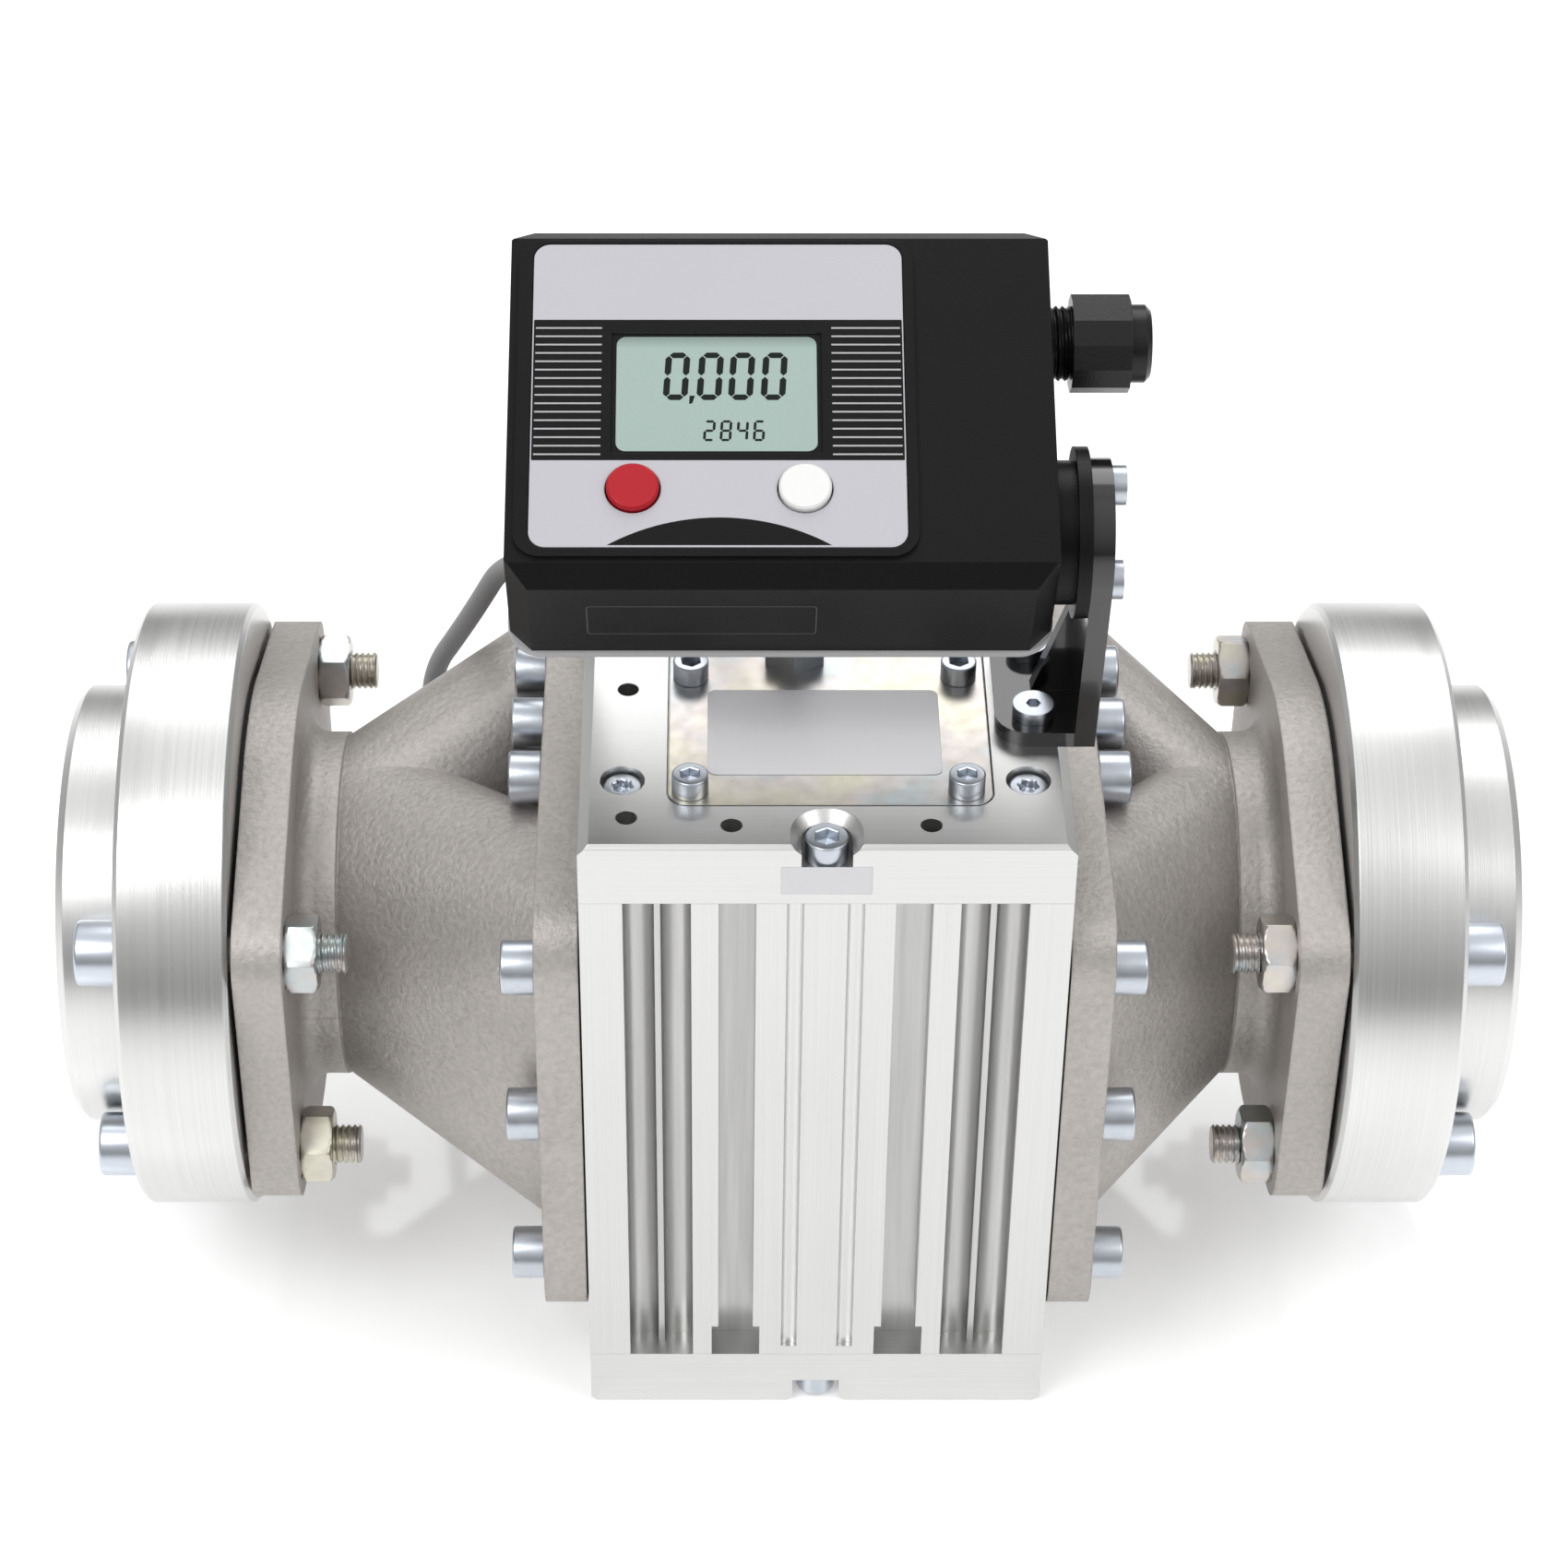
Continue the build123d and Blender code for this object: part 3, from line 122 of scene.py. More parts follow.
class Finish:
    # A material with one Principled shader: constants on its sockets, patterns fed by wires.
    def __init__(self, name, **constants):
        self.material = bpy.data.materials.new(name)
        self.material.use_nodes = True
        self.tree = self.material.node_tree
        self.shader = self.tree.nodes["Principled BSDF"]
        for socketName, value in constants.items():
            socket = self.shader.inputs[socketNames[socketName]]
            socket.default_value = (*value, 1.0) if isinstance(value, tuple) else value
        self.place = self.node("ShaderNodeTexCoord").output("Object")
        axes = self.node("ShaderNodeSeparateXYZ", {}, {0: self.place})
        self.x, self.y, self.z = (axes.output(axis) for axis in "XYZ")

    def node(self, kind, settings=None, inputs=None):
        made = self.tree.nodes.new(kind)
        for key, value in (settings or {}).items():
            if key == "stops":
                ramp = made.color_ramp
                while len(ramp.elements) < len(value):
                    ramp.elements.new(0.5)
                for element, (position, colour) in zip(ramp.elements, value):
                    element.position = position
                    element.color = (*colour, 1.0)
            else:
                setattr(made, key, value)
        for key, value in (inputs or {}).items():
            socket = made.inputs[key]
            if isinstance(value, Wire):
                self.tree.links.new(value.socket, socket)
            elif socket.type == "RGBA":
                socket.default_value = (*value, 1.0)
            else:
                socket.default_value = value
        return Wire(self, made.outputs[0])

    def noise(self, stretch, detail=4.0, roughness=0.55):
        # Noise whose grains are stretched by a scale for each axis, in grains per metre.
        mapped = self.node("ShaderNodeMapping", {}, {"Vector": self.place, "Scale": stretch})
        grain = {"Vector": mapped, "Scale": 1.0, "Detail": detail, "Roughness": roughness}
        return self.node("ShaderNodeTexNoise", {}, grain)

    def mix(self, factor, first, second):
        # Colour that goes from the first to the second with the factor.
        return self.node("ShaderNodeMix", {"data_type": "RGBA"}, {0: factor, 6: first, 7: second}).output(2)

    def fade(self, value, start, end, first, last):
        # Number that goes from the first to the last while the value goes from the start to the end.
        limits = {"Value": value, "From Min": start, "From Max": end, "To Min": first, "To Max": last}
        return self.node("ShaderNodeMapRange", {}, limits)

    def combine(self, x, y, z):
        return self.node("ShaderNodeCombineXYZ", {}, {0: x, 1: y, 2: z})

    def feed(self, socketName, wire):
        self.tree.links.new(wire.socket, self.shader.inputs[socketName])

    def relief(self, height, distance, strength=1.0, edge=0.0003):
        # Rounded edges, with a bump of the height's pattern on them.
        rounded = self.node("ShaderNodeBevel", {"samples": 4}, {"Radius": edge})
        bump = {"Height": height, "Distance": distance, "Strength": strength, "Normal": rounded}
        self.feed("Normal", self.node("ShaderNodeBump", {}, bump))

    def dress(self, *names):
        for name in names:
            piece = nodes[name] if name in nodes else bpy.data.objects[name]
            piece.data.materials.clear()
            piece.data.materials.append(self.material)


# Distances in metres at which points are welded and slivers go, and the angle past which an edge is sharp.
meshing = {"weld": 2e-6, "sliver": 1e-7, "sharp": math.radians(35)}


def makePiece(name, vertices, faces, body):
    # A mesh object that rides on a body of the frame.
    mesh = bpy.data.meshes.new(name)
    mesh.from_pydata(np.asarray(vertices).tolist(), [], [list(face) for face in faces])
    work = bmesh.new()
    work.from_mesh(mesh)
    bmesh.ops.remove_doubles(work, verts=work.verts, dist=meshing["weld"])
    bmesh.ops.dissolve_degenerate(work, edges=work.edges, dist=meshing["sliver"])
    bmesh.ops.recalc_face_normals(work, faces=work.faces)
    for face in work.faces:
        face.smooth = True
    for edge in work.edges:
        if len(edge.link_faces) == 2:
            edge.smooth = edge.calc_face_angle(0) < meshing["sharp"]
    work.to_mesh(mesh)
    work.free()
    piece = bpy.data.objects.new(name, mesh)
    bpy.context.scene.collection.objects.link(piece)
    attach(piece, body)
    return piece


def gridFaces(rows, columns):
    # Quads between neighbouring rows and columns, with the last column joined to the first.
    row, column = np.meshgrid(np.arange(rows - 1), np.arange(columns), indexing="ij")
    here = row * columns + column
    after = row * columns + (column + 1) % columns
    return np.stack([here, after, after + columns, here + columns], -1).reshape(-1, 4)


def turned(rings, segments):
    # Surface of revolution about +Z: x = radius cos(angle), y = radius sin(angle), z = height,
    # for each ring (radius, height). A radius may be a function of the angle.
    angle = np.linspace(0, 2 * math.pi, segments, endpoint=False)
    points = []
    for radius, height in rings:
        reach = radius(angle) if callable(radius) else np.full(segments, float(radius))
        level = np.full(segments, float(height))
        points.append(np.stack([reach * np.cos(angle), reach * np.sin(angle), level], -1))
    return np.concatenate(points), gridFaces(len(rings), segments)


def hexagon(flats):
    # Distance to a hexagon's side: half its flats over the cosine of the angle from the side's middle.
    return lambda angle: flats / 2 / np.cos(angle % (math.pi / 3) - math.pi / 6)


def star(radius):
    # Six round lobes: the radius falls by a fifth between them, with the cosine of six times the angle.
    return lambda angle: radius * (0.9 + 0.1 * np.cos(6 * angle))


def placed(shape, seats):
    # Copies of one shape, each on its seat: an origin, the direction that its +Z takes, and a spin about it.
    vertices, faces = shape
    allVertices, allFaces = [], []
    for index, (origin, direction, spin) in enumerate(seats):
        aim = Vector((0, 0, 1)).rotation_difference(Vector(direction)).to_matrix()
        turn = np.array(aim @ Matrix.Rotation(spin, 3, "Z"))
        moved = np.asarray(vertices) @ turn.T + np.array(origin)
        allVertices.append(moved * mm)
        allFaces.append(np.asarray(faces) + index * len(vertices))
    return np.concatenate(allVertices), np.concatenate(allFaces)


def threadRadius(radius, pitch, level):
    # Triangular thread: the radius falls by half the pitch and comes back, once for each pitch in height
    # and once for each turn in angle.
    def reach(angle):
        phase = (level / pitch - angle / (2 * math.pi)) % 1.0
        return radius - 0.5 * pitch * (1 - np.abs(2 * phase - 1))
    return reach


# Small measures that all screws share: hair is the radius at the poles and the step under the head.
screwDetails = {
    "hair": 0.02,
    "tip": 0.6,
    "seatEdge": 0.2,
    "lip": 0.3,
    "drillCone": 0.4,
    "rimSteps": 6,
    "rowsPerPitch": 8,
    "segments": 48,
}


def socketScrew(spec):
    # Screw on its seat at height 0, as one profile turned about +Z: shank below, head above
    # with a rounded rim, and a socket of six lobes or six flats.
    shank, head, height, length = spec["shank"], spec["head"], spec["height"], spec["length"]
    hair, tip, lip = screwDetails["hair"], screwDetails["tip"], screwDetails["lip"]
    edge, seatEdge = spec["edge"], screwDetails["seatEdge"]
    bottom = height - spec["depth"]
    socket = star(spec["socket"]) if spec["lobed"] else hexagon(spec["socket"])
    rings = [(hair, -length), (shank - tip, -length), (shank, tip - length)]
    if spec["thread"]:
        rows = int(spec["thread"] / spec["pitch"] * screwDetails["rowsPerPitch"])
        for level in np.linspace(tip - length, spec["thread"] - length, rows):
            rings.append((threadRadius(shank, spec["pitch"], level), level))
    rings += [(shank, -hair), (shank, 0.0), (head - seatEdge, 0.0), (head, seatEdge)]
    # The rim is a quarter round of the edge's size.
    for turn in np.linspace(0, math.pi / 2, screwDetails["rimSteps"]):
        rings.append((head - edge + edge * math.cos(turn), height - edge + edge * math.sin(turn)))
    rings += [
        (lambda angle: socket(angle) + lip, height),
        (socket, height - lip),
        (socket, bottom),
        (hair, bottom - screwDetails["drillCone"]),
    ]
    return turned(rings, screwDetails["segments"])


# Where prints lie: the display's tilted face and its lower wall, the sensor cover, the top plate's edge.
tilt = math.radians(25)
face = {"middle": (-10.75, -33.6784, 269.8628), "sine": math.sin(tilt), "cosine": math.cos(tilt)}
wallDrop = 46.75
coverTop = 184.0
plateFront = -88.0


def facePoint(x, y, rise):
    # Point over the display's face: x from its middle, y up the face, rise out of it.
    middleX, middleY, middleZ = face["middle"]
    sine, cosine = face["sine"], face["cosine"]
    return (middleX + x, middleY + y * cosine - rise * sine, middleZ + y * sine + rise * cosine)


def coverPoint(x, y, rise):
    # Point over the sensor cover.
    return (x, y, coverTop + rise)


def wallPoint(x, depth, rise):
    # Point on the display's lower wall: depth runs back from the face.
    return facePoint(x, -wallDrop - rise, -depth)


def platePoint(x, z, rise):
    # Point in front of the top plate's front edge.
    return (x, plateFront - rise, z)


def printSheet(name, outlines, place, rise, body, thickness=0.04):
    # Thin printed areas: each outline is a list of (x, y), closed into a flat prism over the surface.
    vertices, faces = [], []
    for outline in outlines:
        start, count = len(vertices), len(outline)
        for level in (rise, rise + thickness):
            vertices += [place(x, y, level) for x, y in outline]
        faces.append([start + index for index in range(count)][::-1])
        faces.append([start + count + index for index in range(count)])
        for index in range(count):
            after = (index + 1) % count
            faces.append([start + index, start + after, start + count + after, start + count + index])
    return makePiece(name, np.array(vertices) * mm, faces, body)


def printRing(name, outer, inner, place, rise, body, thickness=0.04):
    # Printed area with a hole: outer and inner outlines have as many points and are joined by quads.
    levels = [
        [place(x, y, rise + step) for x, y in outline]
        for step in (0.0, thickness)
        for outline in (outer, inner)
    ]
    count = len(outer)
    faces = []
    for index in range(count):
        after = (index + 1) % count
        faces.append([index, after, count + after, count + index])
        faces.append([2 * count + index, 3 * count + index, 3 * count + after, 2 * count + after])
        faces.append([index, 2 * count + index, 2 * count + after, after])
        faces.append([count + index, count + after, 3 * count + after, 3 * count + index])
    return makePiece(name, np.array(sum(levels, [])) * mm, faces, body)


def roundedOutline(left, bottom, right, top, radius, steps=8):
    # Rectangle whose corners are quarter circles.
    centres = (
        (right - radius, top - radius),
        (left + radius, top - radius),
        (left + radius, bottom + radius),
        (right - radius, bottom + radius),
    )
    return [
        (x + radius * math.cos(turn), y + radius * math.sin(turn))
        for quarter, (x, y) in enumerate(centres)
        for turn in np.linspace(0, math.pi / 2, steps) + quarter * math.pi / 2
    ]


# Signal cable, over the same route points as the part's own cable; its other lengths are in metres.
cable = {
    "diameter": 0.0055,
    "length": 0.5506,
    "pointRadius": 0.0001,
    "roundness": 6,
    "stepsPerPoint": 10,
    "route": [
        (-6.5, -16.0, 194.0),
        (-6.5, -16.0, 207.0),
        (-9.0, -8.0, 220.0),
        (-14.0, 6.0, 227.0),
        (-22.0, 27.0, 226.0),
        (-29.0, 50.0, 220.0),
        (-37.0, 75.0, 208.0),
        (-45.0, 98.0, 190.0),
        (-52.0, 113.0, 166.0),
        (-57.0, 120.5, 142.0),
        (-60.5, 124.0, 117.0),
        (-62.0, 124.5, 92.0),
        (-64.0, 123.0, 68.5),
        (-69.2, 119.1, 57.2),
        (-78.3, 112.4, 50.7),
        (-88.7, 104.6, 50.7),
        (-97.8, 97.9, 57.2),
        (-103.0, 94.0, 68.5),
        (-104.0, 88.5, 90.0),
        (-100.5, 78.5, 110.0),
        (-94.5, 66.5, 127.0),
        (-87.0, 50.0, 150.0),
        (-77.7, 27.1, 181.3),
        (-64.0, 3.0, 194.0),
        (-56.0, -19.2, 205.8),
        (-56.0, -30.2, 220.1),
    ],
}


def makeCable(spec):
    curve = bpy.data.curves.new("signalCable", "CURVE")
    curve.dimensions = "3D"
    # The points' radius is counted into the curve's box, so it is small and the bevel makes up for it.
    curve.bevel_depth = spec["diameter"] / 2 / spec["pointRadius"]
    curve.bevel_resolution = spec["roundness"]
    curve.use_fill_caps = True
    curve.resolution_u = spec["stepsPerPoint"]
    spline = curve.splines.new("NURBS")
    spline.points.add(len(spec["route"]) - 1)
    for point, place in zip(spline.points, spec["route"]):
        point.co = (*(Vector(place) * mm), 1.0)
        point.radius = spec["pointRadius"]
    spline.order_u = 3
    spline.use_endpoint_u = True
    piece = bpy.data.objects.new("signalCable", curve)
    bpy.context.scene.collection.objects.link(piece)
    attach(piece, "meter")
    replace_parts(piece, "signal_cable")


makeCable(cable)
print("stage: cable made")

# Floor, lights and world of the studio; a lamp is a name, a place, a size and a power in watts,
# and a sky level is a grey at its height between straight down and straight up.
studio = {
    "floorSize": 24000.0,
    "aim": (0, 0, 90),
    "lamps": [
        ("keyLamp", (-900, -900, 1700), 900, 13.0),
        ("fillLamp", (1100, -700, 1300), 900, 6.0),
        ("backLamp", (100, 1100, 1500), 1100, 8.0),
    ],
    "skyLevels": ((0.0, 0.4), (0.5, 0.22), (0.66, 0.5), (1.0, 0.68)),
}


def makeFloor(size):
    half = size / 2 * mm
    mesh = bpy.data.meshes.new("floor")
    corners = [(-half, -half, 0), (half, -half, 0), (half, half, 0), (-half, half, 0)]
    mesh.from_pydata(corners, [], [(0, 1, 2, 3)])
    floor = bpy.data.objects.new("floor", mesh)
    bpy.context.scene.collection.objects.link(floor)
    look = Finish("floorFinish", colour=(0.93, 0.93, 0.93), roughness=0.1, specular=0.7)
    cloud = look.noise((3.0, 3.0, 3.0), 2.0)
    look.feed("Roughness", 0.07 + 0.05 * cloud)
    # What the camera, metal and glass see of the floor is lifted to the white of the backdrop.
    path = look.node("ShaderNodeLightPath")
    lift = path.output("Is Camera Ray") + path.output("Is Glossy Ray") + path.output("Is Transmission Ray")
    look.feed("Emission Color", look.mix(lift, (0.0, 0.0, 0.0), (0.3, 0.3, 0.3)))
    look.shader.inputs["Emission Strength"].default_value = 1.0
    floor.data.materials.append(look.material)


def makeLamp(name, place, size, power, aim):
    lamp = bpy.data.lights.new(name, "AREA")
    lamp.energy = power
    lamp.size = size * mm
    holder = bpy.data.objects.new(name, lamp)
    bpy.context.scene.collection.objects.link(holder)
    holder.location = Vector(place) * mm
    holder.rotation_euler = (Vector(aim) - Vector(place)).to_track_quat("-Z", "Y").to_euler()


def makeWorld(skyLevels):
    world = bpy.data.worlds.new("studioWorld")
    bpy.context.scene.world = world
    world.use_nodes = True
    tree = world.node_tree
    background = tree.nodes["Background"]
    background.inputs["Strength"].default_value = 1.0
    coordinates = tree.nodes.new("ShaderNodeTexCoord")
    axes = tree.nodes.new("ShaderNodeSeparateXYZ")
    ramp = tree.nodes.new("ShaderNodeValToRGB")
    height = tree.nodes.new("ShaderNodeMapRange")
    mix = tree.nodes.new("ShaderNodeMix")
    path = tree.nodes.new("ShaderNodeLightPath")
    mix.data_type = "RGBA"
    height.inputs["From Min"].default_value = -1.0
    # Light from above is bright, at the level of the horizon it is grey, and the camera sees white.
    for position, level in skyLevels:
        element = ramp.color_ramp.elements.new(position)
        element.color = (level, level, level, 1.0)
    tree.links.new(coordinates.outputs["Generated"], axes.inputs[0])
    tree.links.new(axes.outputs["Z"], height.inputs["Value"])
    tree.links.new(height.outputs["Result"], ramp.inputs["Fac"])
    tree.links.new(path.outputs["Is Camera Ray"], mix.inputs[0])
    tree.links.new(ramp.outputs["Color"], mix.inputs[6])
    mix.inputs[7].default_value = (1.0, 1.0, 1.0, 1.0)
    tree.links.new(mix.outputs[2], background.inputs["Color"])


makeFloor(studio["floorSize"])
for lampSpec in studio["lamps"]:
    makeLamp(*lampSpec, studio["aim"])
makeWorld(studio["skyLevels"])
bpy.context.scene.view_settings.view_transform = "Standard"
print("stage: studio made")

# Screws with lobed or six-sided sockets, threads and rounded rims. A seat is an origin, the direction
# of the head and a spin, which differs from screw to screw.
axisHeight = 92.0
boltRows = [(y, axisHeight + z) for y in (-56.3, 56.3) for z in (-32.0, 32.0)]
manifoldRows = [(y, axisHeight + z) for y in (-79.0, 79.0) for z in (-47.5, 0.0, 47.5)]
manifoldRows += [(y, axisHeight + z) for y in (-21.4, 0.0, 21.4) for z in (-58.5, 58.5)]
flangeBolt = {
    "replaces": "flange_bolts", "slot": "passivated_steel",
    "shank": 4.95, "head": 8.0, "height": 10.0, "length": 55.4, "edge": 0.9,
    "socket": 8.0, "depth": 5.0, "lobed": False, "thread": 16, "pitch": 1.5,
}
screwKinds = {
    "manifoldScrews": {
        "replaces": "manifold_screws", "slot": "zinc_steel",
        "shank": 3.9, "head": 6.5, "height": 8.0, "length": 20.9, "edge": 0.7,
        "socket": 3.4, "depth": 4.0, "lobed": True, "thread": 0,
        "seats": [
            ((side * 68.0, y, z), (side, 0, 0), 0.4 * y + z)
            for side in (-1, 1)
            for y, z in manifoldRows
        ],
    },
    "inletBolts": {**flangeBolt, "seats": [((-169.9, y, z), (-1, 0, 0), 0.3 * y + z) for y, z in boltRows]},
    "outletBolts": {**flangeBolt, "seats": [((154.9, y, z), (1, 0, 0), 0.7 * y + z) for y, z in boltRows]},
    "plateScrews": {
        "replaces": "plate_screws", "slot": "zinc_steel",
        "shank": 2.4, "head": 4.55, "height": 4.0, "length": 23.4, "edge": 0.6,
        "socket": 2.4, "depth": 2.2, "lobed": True, "thread": 0,
        "seats": [
            ((x, y, axisHeight + up * 86.5), (0, 0, up), 0.2 * y)
            for up in (-1, 1)
            for x in (-47, 47)
            for y in (-64, 64)
        ],
    },
    "tieScrews": {
        "replaces": "tie_screws", "slot": "zinc_steel",
        "shank": 2.9, "head": 5.0, "height": 6.0, "length": 21.6, "edge": 0.5,
        "socket": 5.0, "depth": 3.0, "lobed": False, "thread": 0,
        "seats": [
            ((0, y, axisHeight + up * 84.7), (0, 0, up), 0.5 * up)
            for up in (-1, 1)
            for y in (-82.5, 82.5)
        ],
    },
    "coverScrews": {
        "replaces": "cover_screws", "slot": "zinc_steel",
        "shank": 2.4, "head": 4.25, "height": 5.0, "length": 10.9, "edge": 0.5,
        "socket": 4.0, "depth": 2.5, "lobed": False, "thread": 0,
        "seats": [((x, y, coverTop), (0, 0, 1), x + y) for x in (-31.3, 32.5) for y in (-67.6, -24.6)],
    },
}
for name, kind in screwKinds.items():
    vertices, faces = placed(socketScrew(kind), kind["seats"])
    screws = makePiece(name, vertices, faces, "meter")
    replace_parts(screws, kind["replaces"])
print("stage: screws made")


def boltNut(spec):
    # Six-sided nut whose corners are cut by a cone at both ends: each ring's radius is the smaller
    # of the hexagon's and the cone's.
    flat = hexagon(spec["flats"])
    corner = spec["flats"] / math.sqrt(3)
    high, rim, hole, lead = spec["height"], spec["rim"], spec["hole"], spec["lead"]

    def cut(drop):
        return lambda angle: np.minimum(flat(angle), corner - drop)

    outside = [(cut(drop * rim), rise * rim) for drop, rise in spec["chamfer"]]
    outside += [(cut(drop * rim), high - rise * rim) for drop, rise in reversed(spec["chamfer"])]
    inside = [(hole + lead, high), (hole, high - lead), (hole, lead), (hole + lead, 0.0)]
    rings = outside + inside
    return turned(rings + rings[:1], spec["segments"])


# The chamfer is how much of the rim is cut off at how much of the rim's height.
nut = {
    "flats": 17.0,
    "height": 8.0,
    "rim": 1.3,
    "chamfer": ((1.0, 0.0), (0.5, 0.3), (0.15, 0.6), (0.0, 1.0)),
    "hole": 5.02,
    "lead": 0.6,
    "segments": 72,
}
nutSeats = [((-129.4, y, z), (1, 0, 0), 0.6 * y + z) for y, z in boltRows]
nutSeats += [((114.4, y, z), (-1, 0, 0), 0.4 * y + z) for y, z in boltRows]
vertices, faces = placed(boltNut(nut), nutSeats)
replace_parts(makePiece("flangeNuts", vertices, faces, "meter"), "flange_nuts")

# Pipe thread in each hub, as a shell with a plain outside; the wall is its thickness where it is thinnest.
pipeThread = {
    "radius": 42.47,
    "wall": 0.15,
    "pitch": 2.309,
    "start": 0.1,
    "length": 26.8,
    "levels": 82,
    "segments": 120,
}


def threadShell(spec):
    # The inner radius follows a triangular thread, once round for each pitch; the outside is plain.
    levels = np.linspace(spec["start"], spec["length"], spec["levels"])
    inner = spec["radius"] - spec["wall"]
    rings = [(threadRadius(inner, spec["pitch"], level), level) for level in levels]
    rings += [(spec["radius"], levels[-1]), (spec["radius"], levels[0]), rings[0]]
    return turned(rings, spec["segments"])


hubSeats = [((-187.0, 0, axisHeight), (1, 0, 0), 0.0), ((172.0, 0, axisHeight), (-1, 0, 0), 0.0)]
vertices, faces = placed(threadShell(pipeThread), hubSeats)
makePiece("hubThreads", vertices, faces, "meter")

# Neck of the side gland: thread outside, plain inside the nut, with its bore.
glandNeck = {
    "seat": (61.25, 23.5, -15.0),
    "thread": 8.75,
    "pitch": 1.5,
    "length": 5.5,
    "neck": 7.2,
    "end": 21.3,
    "bore": 4.0,
    "depth": 20.0,
    "levels": 24,
    "segments": 64,
}


def threadedNeck(spec):
    # One profile turned about +Z: closed foot, triangular thread, plain neck, and a bore with a flat bottom.
    levels = np.linspace(0.0, spec["length"], spec["levels"])
    bottom = spec["end"] - spec["depth"]
    rings = [(0.0, 0.0)] + [(threadRadius(spec["thread"], spec["pitch"], level), level) for level in levels]
    rings += [(spec["neck"], spec["length"]), (spec["neck"], spec["end"])]
    rings += [(spec["bore"], spec["end"]), (spec["bore"], bottom), (0.0, bottom)]
    return turned(rings, spec["segments"])


vertices, faces = placed(threadedNeck(glandNeck), [(facePoint(*glandNeck["seat"]), (1, 0, 0), 0.0)])
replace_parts(makePiece("glandNeck", vertices, faces, "display"), "side_gland_body")
print("stage: nuts and threads made")

# Printed film of the display: a black band round the window and a mask on the glass. An outline
# in the window has an inset sideways, an inset up and down, and a corner radius.
film = {
    "left": -55.95,
    "right": 27.65,
    "bandTop": 19.8,
    "bandBottom": -16.9,
    "margin": 0.3,
    "rise": 0.9,
    "window": (-38.35, -15.5, 9.45, 16.8),
    "bandHole": (0.35, 0.35, 0.3),
    "glassRise": 0.4,
    "maskOutside": (0.3, 0.3, 0.2),
    "maskInside": (1.4, 1.2, 2.2),
    "inkThickness": 0.02,
}


def windowOutline(sideways, upwards, radius):
    # Rounded rectangle that stands in from the window's sides.
    left, bottom, right, top = film["window"]
    return roundedOutline(left + sideways, bottom + upwards, right - sideways, top - upwards, radius)


bandLeft, bandRight = film["left"] + film["margin"], film["right"] - film["margin"]
band = roundedOutline(bandLeft, film["bandBottom"], bandRight, film["bandTop"], film["margin"])
# The band reaches a little over the window's edge.
bandHole = windowOutline(*film["bandHole"])
printRing("faceBand", band, bandHole, facePoint, film["rise"], "display")
mask = windowOutline(*film["maskOutside"])
maskHole = windowOutline(*film["maskInside"])
printRing("lcdMask", mask, maskHole, facePoint, film["glassRise"], "display")

# Pale lines in two rows, at the left and the right of the window.
lineRow = {
    "count": 16,
    "top": 17.6,
    "pitch": 2.2,
    "width": 0.42,
    "rise": 0.04,
    "left": (-55.2, -40.3),
    "right": (11.4, 26.9),
}
lines = []
for index in range(lineRow["count"]):
    level = lineRow["top"] - index * lineRow["pitch"]
    low, high = level - lineRow["width"] / 2, level + lineRow["width"] / 2
    for start, end in (lineRow["left"], lineRow["right"]):
        lines.append([(start, low), (end, low), (end, high), (start, high)])
lineRise = film["rise"] + lineRow["rise"]
printSheet("faceLines", lines, facePoint, lineRise, "display", film["inkThickness"])

arcShape = {"left": -38.6, "right": 10.9, "base": -38.5, "top": -31.5, "steps": 40}


def arcOutline(shape):
    # The upper edge is a circle through the two ends and the top: radius = (half² + rise²) / (2 rise).
    half = (shape["right"] - shape["left"]) / 2
    rise = shape["top"] - shape["base"]
    radius = (half ** 2 + rise ** 2) / (2 * rise)
    span = math.asin(half / radius)
    return [
        (shape["left"] + half + radius * math.sin(turn), shape["top"] - radius + radius * math.cos(turn))
        for turn in np.linspace(span, -span, shape["steps"])
    ]


printSheet("faceArc", [arcOutline(arcShape)], facePoint, film["rise"], "display")

# Seven bars of one digit, in a cell of width 1 and height 2: each runs between two of its points.
barEnds = {
    "top": ((0, 2), (1, 2)),
    "middle": ((0, 1), (1, 1)),
    "bottom": ((0, 0), (1, 0)),
    "upperLeft": ((0, 1), (0, 2)),
    "upperRight": ((1, 1), (1, 2)),
    "lowerLeft": ((0, 0), (0, 1)),
    "lowerRight": ((1, 0), (1, 1)),
}
digitForms = {
    "0": "top upperLeft upperRight lowerLeft lowerRight bottom",
    "2": "top upperRight middle lowerLeft bottom",
    "4": "upperLeft upperRight middle lowerRight",
    "6": "top upperLeft middle lowerLeft lowerRight bottom",
    "8": "top upperLeft upperRight middle lowerLeft lowerRight bottom",
}
readings = [
    {
        "text": "0000", "places": (-25.8, -18.25, -11.2, -3.9), "bottom": -0.3,
        "width": 4.1, "height": 11.0, "thickness": 1.45,
    },
    {
        "text": "2846", "places": (-17.2, -13.5, -9.8, -6.1), "bottom": -11.4,
        "width": 2.0, "height": 4.8, "thickness": 0.6,
    },
]
# The gap between bars is a share of their thickness, and the slant is a share of the height.
digitStyle = {"gap": 0.12, "slant": 0.06, "rise": 0.01}
decimalMark = [(-20.6, -2.0), (-19.9, -1.9), (-19.3, 0.1), (-20.5, 0.1)]


